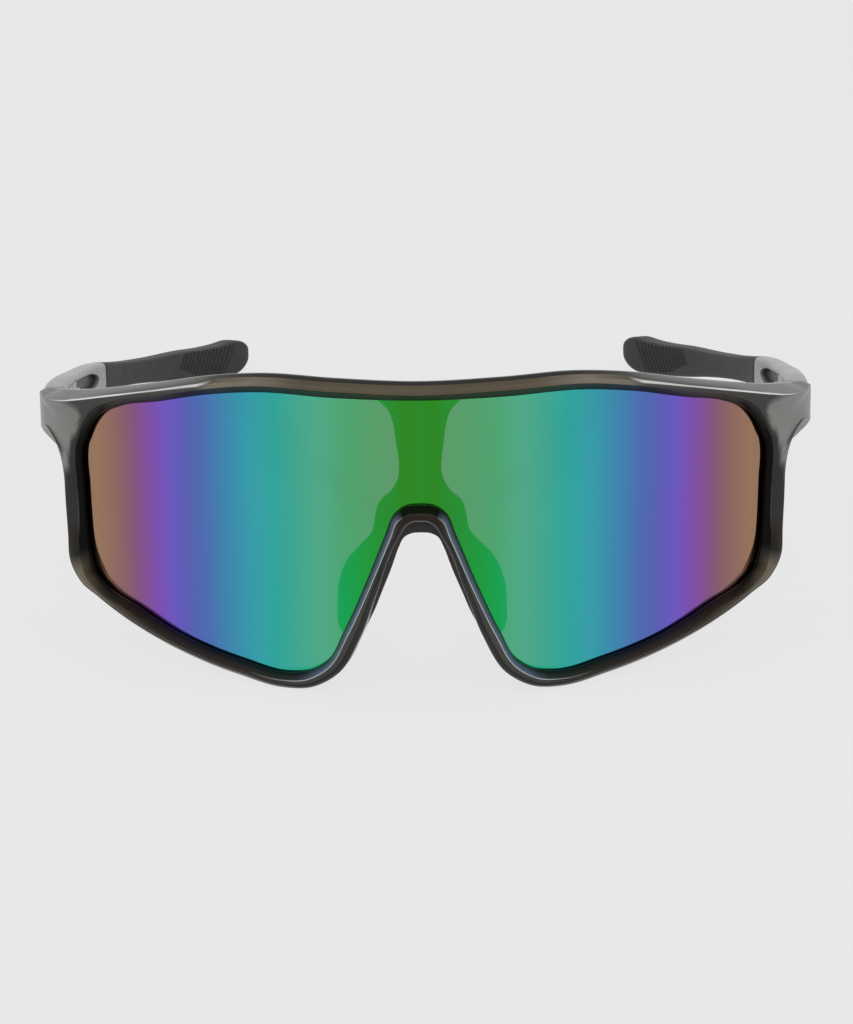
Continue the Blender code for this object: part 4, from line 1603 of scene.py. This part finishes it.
@dataclass
class NoseBridge:
    """The bar behind the lens, which forks into two legs behind the nose rim, and its two pads."""

    shop: Workshop
    line: RimLine
    back_depth: float = 0.0033
    thickness: float = 0.0020
    lap: float = 0.0022
    half_outline: Table = (
        (0.0076, 0.0206), (0.0056, 0.0187), (0.0049, 0.0168), (0.00445, 0.0140), (0.00445, 0.0060),
        (0.0057, 0.0042), (0.0076, 0.0026), (0.0083, 0.0005), (0.0086, -0.0015), (0.0092, -0.0030),
        (0.0110, -0.0049), (0.0136, -0.0077), (0.0151, -0.0110), (0.0157, -0.0160),
        (0.0154, -0.0200), (0.0149, -0.0210),
    )
    leg_width: float = 0.0050
    arch_step: float = 0.0030
    rounding: float = 0.0004
    steps: int = 10
    arch_steps: int = 6
    arch_shares: Table = ((0.79, 0.52), (0.60, 0.84), (0.34, 0.97), (0, 1))
    pad_height: float = 0.0168
    pad_centre: float = -0.0130
    pad_depth: float = 0.0064
    pad_thickness: float = 0.0028
    pad_spread: float = 0.0050
    pad_end_share: float = 0.86
    pad_levels: int = 28
    pad_steps: int = 4
    pad_shares: Table = (
        (1.00, 0.00), (0.95, 0.35), (0.85, 0.70), (0.50, 0.93), (0.00, 1.00),
        (-0.45, 0.90), (-0.75, 0.70), (-0.90, 0.35), (-1.00, 0.00),
    )

    def outline(self) -> list[Pair]:
        """Draw the bridge's outline.

        Returns:
            Its (along, height) points.
        """
        line = self.line
        crown = line.arch_top - self.arch_step
        half = [Vector((self.half_outline[0][0], line.opening_shares[0][1] * line.lens_rise + self.lap))]
        half.extend(spline(self.half_outline, self.steps, closed=False))
        legs = line.nose_edge()
        half.extend(legs)
        knee = legs[-1]
        arch = [knee, *(Vector((knee.x * across, knee.y + (crown - knee.y) * rise))
                        for across, rise in self.arch_shares)]
        half.extend(spline(arch, self.arch_steps, closed=False)[1:])
        outline = [(point.x, point.y) for point in half]
        outline.extend((-point.x, point.y) for point in reversed(half[:-1]))
        return outline

    def leg_centre(self, height: float) -> float:
        """Find the middle of a leg at a height.

        Args:
            height: The height.

        Returns:
            The middle's distance along the strip.
        """
        middle = self.line.nose_edge(-self.leg_width / 2)
        foot, knee = middle[0], middle[-1]
        return foot.x + (knee.x - foot.x) * (height - foot.y) / (knee.y - foot.y)

    def pad(self) -> Shape:
        """Shape the +X nose pad, a soft wing that runs back and outwards from its leg.

        Returns:
            The shape.
        """
        front = -self.back_depth - self.thickness - 2 * JOINT_GAP
        half = self.pad_thickness / 2
        section = spline(self.pad_shares, self.pad_steps, closed=False)
        rings = []
        for index in range(self.pad_levels + 1):
            level = -math.cos(math.pi * index / self.pad_levels)
            size = math.sqrt(1 - level ** 2 * self.pad_end_share)
            height = self.pad_centre + level * self.pad_height / 2
            middle = self.leg_centre(height)
            rings.append([
                self.shop.strip.wrap(
                    middle + half * across * size + self.pad_spread * size * back,
                    height, front - self.pad_depth * size * back,
                )
                for across, back in section
            ])
        return Shape(self.shop.strip).sweep(rings, capped=True)

    def build(self, plastic: bpy.types.Material, rubber: bpy.types.Material) -> None:
        """Build the bridge and its pads.

        Args:
            plastic: The bridge's finish.
            rubber: The pads' finish.
        """
        shop = self.shop
        front = -self.back_depth - JOINT_GAP
        shape = Shape(shop.strip).plate(
            self.outline(), front, front - self.thickness, PLATE_STEP, self.rounding,
        )
        mesh = shop.mesh("bridge", shape, Side.RIGHT)
        shop.place(mesh, plastic, "front", "smoke_plastic", "nose_bridge")
        for side in Side:
            mesh = shop.mesh("pad", self.pad(), side)
            shop.place(mesh, rubber, "front", "grey_rubber", f"nose_pad_{side.value}")


@dataclass
class Temple:
    """One temple: a stiff arm with a hollow inner side, and the ribbed rubber sleeve on its tip."""

    shop: Workshop
    hinge: Hinge
    length: float = 0.1267
    centre: float = 0.0134
    fall: float = 0.0079
    height: float = 0.0078
    thickness: float = 0.0048
    pocket_start: float = 0.0090
    pocket_length: float = 0.0340
    pocket_border: float = 0.0012
    pocket_depth: float = 0.0017
    pocket_end: float = 0.995
    pocket_roundness: float = 3
    pocket_steps: int = 48
    sleeve_start: float = 0.0485
    sleeve_proud: float = 0.00005
    sleeve_wall: float = 0.0009
    seam: float = 0.0001
    tang_length: float = 0.0560
    tip_rounding: float = 0.0080
    squareness: Table = ((0.010, 0.55), (0.044, 0.36), (0.128, 0.36))
    tip_bluntness: float = 0.35
    tip_steps: int = 41
    profile_steps: int = 16
    corner_steps: int = 24
    sides: int = 92
    step: float = 0.0015
    rounding: float = 0.0003
    rib_start: float = 0.0948
    rib_end: float = 0.1200
    rib_pitch: float = 0.0018
    rib_depth: float = 0.00060
    rib_sharpness: float = 1.5
    rib_fade: float = 0.10
    rib_reach: float = 0.80
    # The sleeve's own rubber colour, and the painted shade that darkens the grooves between the ribs.
    rib_colour_and_painted_groove_shade: tuple[Colour, Colour] = ((0.017, 0.017, 0.018), (0.003, 0.003, 0.003))
    arm_tone: Colour = (0.300, 0.297, 0.290)
    rib_high: float = 0.90
    rib_slants: Table = ((0.090, 0.75), (0.115, 0.80))
    rib_lows: Table = ((0.095, -0.20), (0.108, -0.80), (0.120, -0.85))
    rib_step: float = 0.0002
    shares: Table = (
        (0.000, 0.000, 1.000, 1.000), (0.050, 0.000, 1.040, 1.000),
        (0.110, 0.016, 0.974, 1.000), (0.230, 0.095, 0.846, 0.870),
        (0.345, 0.179, 0.790, 0.770), (0.430, 0.316, 0.710, 0.790),
        (0.525, 0.482, 0.644, 0.840), (0.635, 0.666, 0.684, 0.890),
        (0.775, 0.887, 0.869, 0.990), (0.860, 1.005, 0.919, 1.040),
        (0.925, 1.055, 1.001, 1.080), (1.000, 1.000, 1.049, 1.080),
    )

    @cached_property
    def rows(self) -> list[Vector]:
        """Return the temple's profile as a fine table."""
        return spline(self.shares, self.profile_steps, closed=False)

    def profile(self, distance: float) -> tuple[float, float, float]:
        """Read the temple's profile.

        Args:
            distance: How far the section is from the hinge.

        Returns:
            Its centre height, half height and half thickness.
        """
        last, following, share = between(self.rows, distance / self.length)
        row = last.lerp(following, share)
        return self.centre - self.fall * row[1], self.height * row[2] / 2, self.thickness * row[3] / 2

    def ring(self, distance: float, grow: float, size: float = 1, marks: list | None = None) -> Ring:
        """Return a section of the temple, grown all round and then scaled.

        Args:
            distance: How far it is from the hinge.
            grow: How much it is grown.
            size: Its height's scale, for the rounded tip; the thickness shrinks later.
            marks: Where its points' tones, with painted shade in the rib grooves, are noted, if ribs are
                pressed into its inner side.

        Returns:
            Its placed points, evenly spaced.
        """
        centre, half_height, half_thickness = self.profile(distance)
        squareness = blend(self.squareness, distance)
        high, deep = (half_height + grow) * size, (half_thickness + grow) * size ** self.tip_bluntness
        corners = []
        for index in range(4 * self.corner_steps + 1):
            angle = math.tau * index / (4 * self.corner_steps)
            across = math.copysign(abs(math.cos(angle)) ** squareness, math.cos(angle))
            up = math.copysign(abs(math.sin(angle)) ** squareness, math.sin(angle))
            corners.append(Vector((deep * across, high * up)))
        lengths = [0.0]
        for last, following in zip(corners, corners[1:]):
            lengths.append(lengths[-1] + (following - last).length)
        ring = []
        step = 0
        for index in range(self.sides):
            place = lengths[-1] * (index + 1 / 2) / self.sides
            while lengths[step + 1] < place:
                step += 1
            share = (place - lengths[step]) / (lengths[step + 1] - lengths[step])
            depth, height = corners[step].lerp(corners[step + 1], share)
            pressed = 0.0
            if marks is not None and depth < 0:
                pressed = self.rib(distance, height / half_height, depth / deep)
            along = self.hinge.reach + distance
            ring.append(self.shop.strip.wrap(along, centre + height, depth + pressed))
            # The grooves get a painted shade, darker the deeper they are pressed in.
            if marks is not None:
                plain, dark = (Vector(tone_and_painted_light) for tone_and_painted_light in self.rib_colour_and_painted_groove_shade)
                marks.append((ring[-1], tuple(plain.lerp(dark, pressed / self.rib_depth))))
        return ring

    def rib(self, distance: float, up: float, across: float) -> float:
        """Work out the ribs' relief at a place of the inner side.

        Args:
            distance: How far the place is from the hinge.
            up: Its height over the centre line, as a share of the half height.
            across: Its depth, as a share of the half thickness and negative on the inner side.

        Returns:
            How far the groove between two ribs is pressed in there.
        """
        _, half_height, _ = self.profile(distance)
        place = distance - (up - 1) * half_height * blend(self.rib_slants, distance)
        inside = min(place - self.rib_start, self.rib_end - place) / self.rib_pitch
        low = blend(self.rib_lows, place)
        if inside <= 0 or up > self.rib_high or up < low:
            return 0.0
        wave = (1 - math.cos(math.tau * (place - self.rib_start) / self.rib_pitch)) / 2
        edge = min(1, (self.rib_high - up) / self.rib_fade, (up - low) / self.rib_fade)
        edge *= min(1, -across / self.rib_reach)
        return self.rib_depth * min(1, inside) * wave ** self.rib_sharpness * edge

    @staticmethod
    def stretch(start: float, end: float, step: float) -> list[float]:
        """Space distances evenly from start to end.

        Args:
            start: The first distance.
            end: The last one.
            step: The widest step between two.

        Returns:
            The distances.
        """
        steps = max(1, math.ceil(abs(end - start) / step))
        return [start + (end - start) * index / steps for index in range(steps + 1)]

    def softened(self, start: float, grow: float) -> list[Ring]:
        """Round the edge of an end.

        Args:
            start: Where the end is.
            grow: How much the temple is grown all round behind the edge.

        Returns:
            The sections, from the end inwards.
        """
        rings = []
        for turn in (0, math.pi / 6, math.pi / 3):
            distance = start + self.rounding * (1 - math.cos(turn))
            rings.append(self.ring(distance, grow + self.rounding * (math.sin(turn) - 1)))
        return rings

    def arm(self) -> Shape:
        """Shape the arm: its stiff front part, and the thin tang that the sleeve hides.

        Returns:
            The shape.
        """
        shoulder = self.sleeve_start - self.seam
        tang = self.sleeve_proud - self.sleeve_wall - JOINT_GAP
        front = JOINT_GAP / 2
        rings = self.softened(front, 0)
        places = self.stretch(front + self.rounding, shoulder, self.step)
        rings.extend(self.ring(place, 0) for place in places)
        end = self.sleeve_start + self.tang_length
        rings.extend(self.ring(place, tang) for place in self.stretch(shoulder, end, 3 * self.step))
        return Shape(self.shop.strip).sweep(rings, capped=True)

    def sleeve(self, marks: list) -> Shape:
        """Shape the sleeve, bored for the tang and closed at the rounded tip.

        Args:
            marks: Where its points' tones, with painted shade in the rib grooves, are noted.

        Returns:
            The shape.
        """
        bore_end = self.sleeve_start + self.tang_length + JOINT_GAP
        bore = self.sleeve_proud - self.sleeve_wall
        bored = self.stretch(bore_end, self.sleeve_start, 2 * self.step)
        rings = [self.ring(place, bore) for place in bored]
        rings += self.softened(self.sleeve_start, self.sleeve_proud)
        ribs = self.rib_start - self.rib_pitch * 3
        round_end = self.length - self.tip_rounding
        places = self.stretch(self.sleeve_start + self.rounding, ribs, self.step)[:-1]
        places += self.stretch(ribs, round_end, self.rib_step)[:-1]
        rings.extend(self.ring(place, self.sleeve_proud, marks=marks) for place in places)
        for index in range(self.tip_steps):
            turn = math.pi / 2 * index / self.tip_steps
            distance = round_end + self.tip_rounding * math.sin(turn)
            rings.append(self.ring(distance, self.sleeve_proud, math.cos(turn), marks))
        return Shape(self.shop.strip).sweep(rings, capped=True)

    def pocket(self) -> Shape:
        """Shape the cutter that hollows the arm's inner side behind the hinge.

        Returns:
            The cutter.
        """
        floor = self.pocket_depth - self.hinge.seat_back
        mouth = -self.hinge.seat_back - self.hinge.overrun
        rings = []
        for index in range(self.pocket_steps + 1):
            share = -self.pocket_end * math.cos(math.pi * index / self.pocket_steps)
            distance = self.pocket_start + self.pocket_length * (1 + share) / 2
            centre, half_height, _ = self.profile(distance)
            opening = half_height - self.pocket_border
            opening *= math.sqrt(1 - abs(share) ** self.pocket_roundness)
            along = self.hinge.reach + distance
            corners = ((1, floor), (1, mouth), (-1, mouth), (-1, floor))
            rings.append([self.shop.strip.wrap(along, centre + opening * side, depth)
                          for side, depth in corners])
        return Shape(self.shop.strip).sweep(rings, capped=True)

    def build(self, side: Side, plastic: bpy.types.Material, rubber: bpy.types.Material) -> None:
        """Build one side's arm and sleeve.

        Args:
            side: The side.
            plastic: The arm's finish.
            rubber: The sleeve's finish.
        """
        shop, hinge = self.shop, self.hinge
        arm, pocket = self.arm(), self.pocket()
        # The arm keeps its own tone; points nearest the pocket cutter get ash, a painted shade inside
        # the pocket.
        marks = [(vert.co.copy(), self.arm_tone) for vert in arm.bm.verts]
        marks += [(vert.co.copy(), TONES_AND_PAINTED_LIGHT["ash"]) for vert in pocket.bm.verts]
        arm = shop.mesh("arm", arm, side)
        cutters = [
            shop.mesh("pocket", pocket, side),
            shop.mesh("seat", hinge.seat(hinge.temple_leaf, hinge.leaf_height, 1), side),
        ]
        cutters.extend(shop.mesh("hole", hinge.hole(place), side) for place in hinge.temple_screws)
        arm = shop.carve(arm, cutters, Boolean.CUT)
        shop.tint(arm, marks, side)
        shop.place(arm, plastic, side.body, "smoke_plastic", f"temple_arm_{side.value}")
        marks = []
        sleeve = shop.mesh("sleeve", self.sleeve(marks), side, foot=True)
        shop.tint(sleeve, marks, side)
        shop.place(sleeve, rubber, side.body, "grey_rubber", f"temple_sleeve_{side.value}")


@dataclass(frozen=True)
class Lamp:
    """A soft lamp that is aimed at the glasses."""

    name: str
    place: tuple[float, float, float]
    size: Pair
    power: float


@dataclass
class Studio:
    """The pale floor, the soft light and the camera."""

    stand: Stand
    backdrop: float = 0.807
    room_light: float = 0.60
    floor_radius: float = 4.0
    floor_sides: int = 96
    floor_colour: Colour = (0.72, 0.72, 0.72)
    floor_glow: float = 0.93
    aim: tuple[float, float, float] = (0.000631, 0.020, -0.002682)
    azimuth: float = math.radians(1.288)
    elevation: float = math.radians(12)
    roll: float = math.radians(0.708)
    distance: float = 0.470
    focal_pixels: float = 2596.7
    frame_height: int = 1024
    nearest: float = 0.01
    lamps: tuple[Lamp, ...] = (
        Lamp("overhead", (0.0, 0.15, 1.3), (1.5, 1.1), 6.0),
        Lamp("front_fill", (0.0, -1.25, 0.95), (1.0, 0.7), 5.0),
        Lamp("left_side", (-1.1, -0.35, 0.55), (0.6, 0.9), 3.0),
        Lamp("right_side", (1.1, -0.35, 0.55), (0.6, 0.9), 3.0),
    )

    def camera(self) -> None:
        """Put the camera at the viewing angle."""
        azimuth, elevation = self.azimuth, self.elevation
        away = Vector((
            math.cos(elevation) * math.sin(azimuth), -math.cos(elevation) * math.cos(azimuth),
            math.sin(elevation),
        ))
        level = Vector((math.cos(azimuth), math.sin(azimuth), 0))
        upright = away.cross(level)
        right = math.cos(self.roll) * level - math.sin(self.roll) * upright
        up = math.sin(self.roll) * level + math.cos(self.roll) * upright
        place = Vector(self.aim) + away * self.distance
        turn = Matrix((right, up, away)).transposed().to_4x4()
        camera = bpy.data.objects.new("camera", bpy.data.cameras.new("camera"))
        bpy.context.scene.collection.objects.link(camera)
        camera.matrix_world = self.stand.matrix @ Matrix.Translation(place) @ turn
        camera.data.lens = self.focal_pixels * camera.data.sensor_width / self.frame_height
        camera.data.clip_start = self.nearest
        bpy.context.scene.camera = camera

    @staticmethod
    def pale_rays(nodes: Nodes) -> bpy.types.NodeSocket:
        """Pick out the rays that should see the plain backdrop.

        Args:
            nodes: The tree that asks.

        Returns:
            1 for such a ray, else 0.
        """
        path = nodes.add("ShaderNodeLightPath")
        total = path.outputs["Is Camera Ray"]
        for name in ("Is Glossy Ray", "Is Transmission Ray"):
            inputs = {0: total, 1: path.outputs[name]}
            total = nodes.add("ShaderNodeMath", inputs, operation="MAXIMUM").outputs[0]
        return total

    def world(self) -> None:
        """Light the room evenly from all sides."""
        world = bpy.data.worlds.new("room")
        world.use_nodes = True
        bpy.context.scene.world = world
        nodes = Nodes(world.node_tree)
        inputs = {0: self.pale_rays(nodes), 2: self.room_light, 3: self.backdrop}
        strength = nodes.add("ShaderNodeMix", inputs)
        background = world.node_tree.nodes["Background"]
        nodes.feed(background.inputs["Color"], opaque((1.0, 1.0, 1.0)))
        nodes.feed(background.inputs["Strength"], strength.outputs[0])

    def floor(self) -> None:
        """Lay the pale floor, which keeps the glasses' shadow."""
        bm = bmesh.new()
        bmesh.ops.create_circle(
            bm, cap_ends=True, segments=self.floor_sides, radius=self.floor_radius,
        )
        mesh = bpy.data.meshes.new("floor")
        bm.to_mesh(mesh)
        bm.free()
        floor = bpy.data.objects.new("floor", mesh)
        bpy.context.scene.collection.objects.link(floor)
        finish = Finish("pale_floor")
        finish.set(Base_Color=opaque(self.floor_colour), Roughness=1.0, Specular_IOR_Level=0.0)
        glow = finish.add("ShaderNodeEmission", {"Color": opaque((self.backdrop,) * 3)})
        inputs = {0: self.pale_rays(finish), 1: self.floor_glow}
        share = finish.add("ShaderNodeMath", inputs, operation="MULTIPLY")
        finish.overlay(share.outputs[0], glow)
        mesh.materials.append(finish.material)

    def light(self) -> None:
        """Hang the soft lamps."""
        for lamp in self.lamps:
            data = bpy.data.lights.new(lamp.name, "AREA")
            data.shape = "RECTANGLE"
            data.size, data.size_y = lamp.size
            data.energy = lamp.power
            made = bpy.data.objects.new(lamp.name, data)
            made.location = lamp.place
            made.rotation_euler = Vector(lamp.place).to_track_quat("Z", "Y").to_euler()
            bpy.context.scene.collection.objects.link(made)

    def build(self) -> None:
        """Set up the whole studio."""
        self.world()
        self.floor()
        self.light()
        self.camera()
        bpy.context.scene.view_settings.view_transform = "Standard"


# The rim and arms read their colour from their meshes' tones: the plastic's own colours with painted
# highlights, painted shade and painted lens reflections on the rim, and painted shade in the arms'
# pockets.
FRAME_PLASTIC = SmokePlastic("smoke_frame", None)
ARM_PLASTIC = SmokePlastic("smoke_arm", None, roughness=0.25)
BRIDGE_PLASTIC = SmokePlastic("smoke_bridge", (0.070, 0.069, 0.064), roughness=0.3)
LENS_TINT = MirrorTint(
    "rainbow_mirror",
    (
        (0.060, (0.047, 0.450, 0.044)), (0.236, (0.020, 0.635, 0.173)),
        (0.377, (0.041, 0.653, 0.455)), (0.459, (0.065, 0.622, 0.648)),
        (0.530, (0.075, 0.494, 0.721)), (0.612, (0.118, 0.309, 0.749)),
        (0.680, (0.177, 0.212, 0.788)), (0.746, (0.276, 0.169, 0.869)),
        (0.803, (0.376, 0.142, 0.622)), (0.869, (0.415, 0.185, 0.298)),
        (0.967, (0.516, 0.292, 0.185)),
    ),
    0.0610,
    (
        (0.08, (0.690, 0.590, 0.860)), (0.22, (0.555, 0.180, 0.670)),
        (0.29, (0.555, 0.180, 0.670)), (0.42, (0.010, 0.010, 0.010)),
    ),
)
LENS_SMOKE = LensBody("smoke_lens_body", (0.012, 0.012, 0.014), (0.600, 0.550, 0.650))
# The sleeves read their colour from their meshes' tones: the rubber's own colour with painted shade in
# the rib grooves.
SLEEVE_RUBBER = SoftRubber("sleeve_rubber", None)
PAD_RUBBER = SoftRubber("pad_rubber", (0.020, 0.020, 0.021), roughness=0.5)
STEEL = BrushedSteel("hinge_steel_finish", (0.56, 0.56, 0.55))


def main() -> None:
    """Build the studio and every piece, and log each piece's face count."""
    logging.basicConfig(level=logging.INFO, format="%(name)s: %(message)s")
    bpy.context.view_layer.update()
    strip = Strip()
    line = RimLine()
    right = next(joint for joint in frame["joints"] if joint["name"] == "right_fold")
    sizes = Hinge(Workshop(strip, Stand(Matrix())), line.reach, FrameFront.endpiece_back)
    stand = Stand.from_joint(right, sizes.axes.to_translation())
    Studio(stand).build()
    shop = Workshop(strip, stand)
    hinge = Hinge(shop, line.reach, FrameFront.endpiece_back)
    frame_plastic, arm_plastic = FRAME_PLASTIC.make(), ARM_PLASTIC.make()
    sleeve_rubber, steel = SLEEVE_RUBBER.make(), STEEL.make()
    FrameFront(shop, line, hinge).build(frame_plastic)
    ShieldLens(shop, line).build(LENS_TINT.make(), LENS_SMOKE.make())
    NoseBridge(shop, line).build(BRIDGE_PLASTIC.make(), PAD_RUBBER.make())
    temple = Temple(shop, hinge)
    for side in Side:
        hinge.build(side, steel)
        temple.build(side, arm_plastic, sleeve_rubber)


if __name__ == "__main__":
    main()
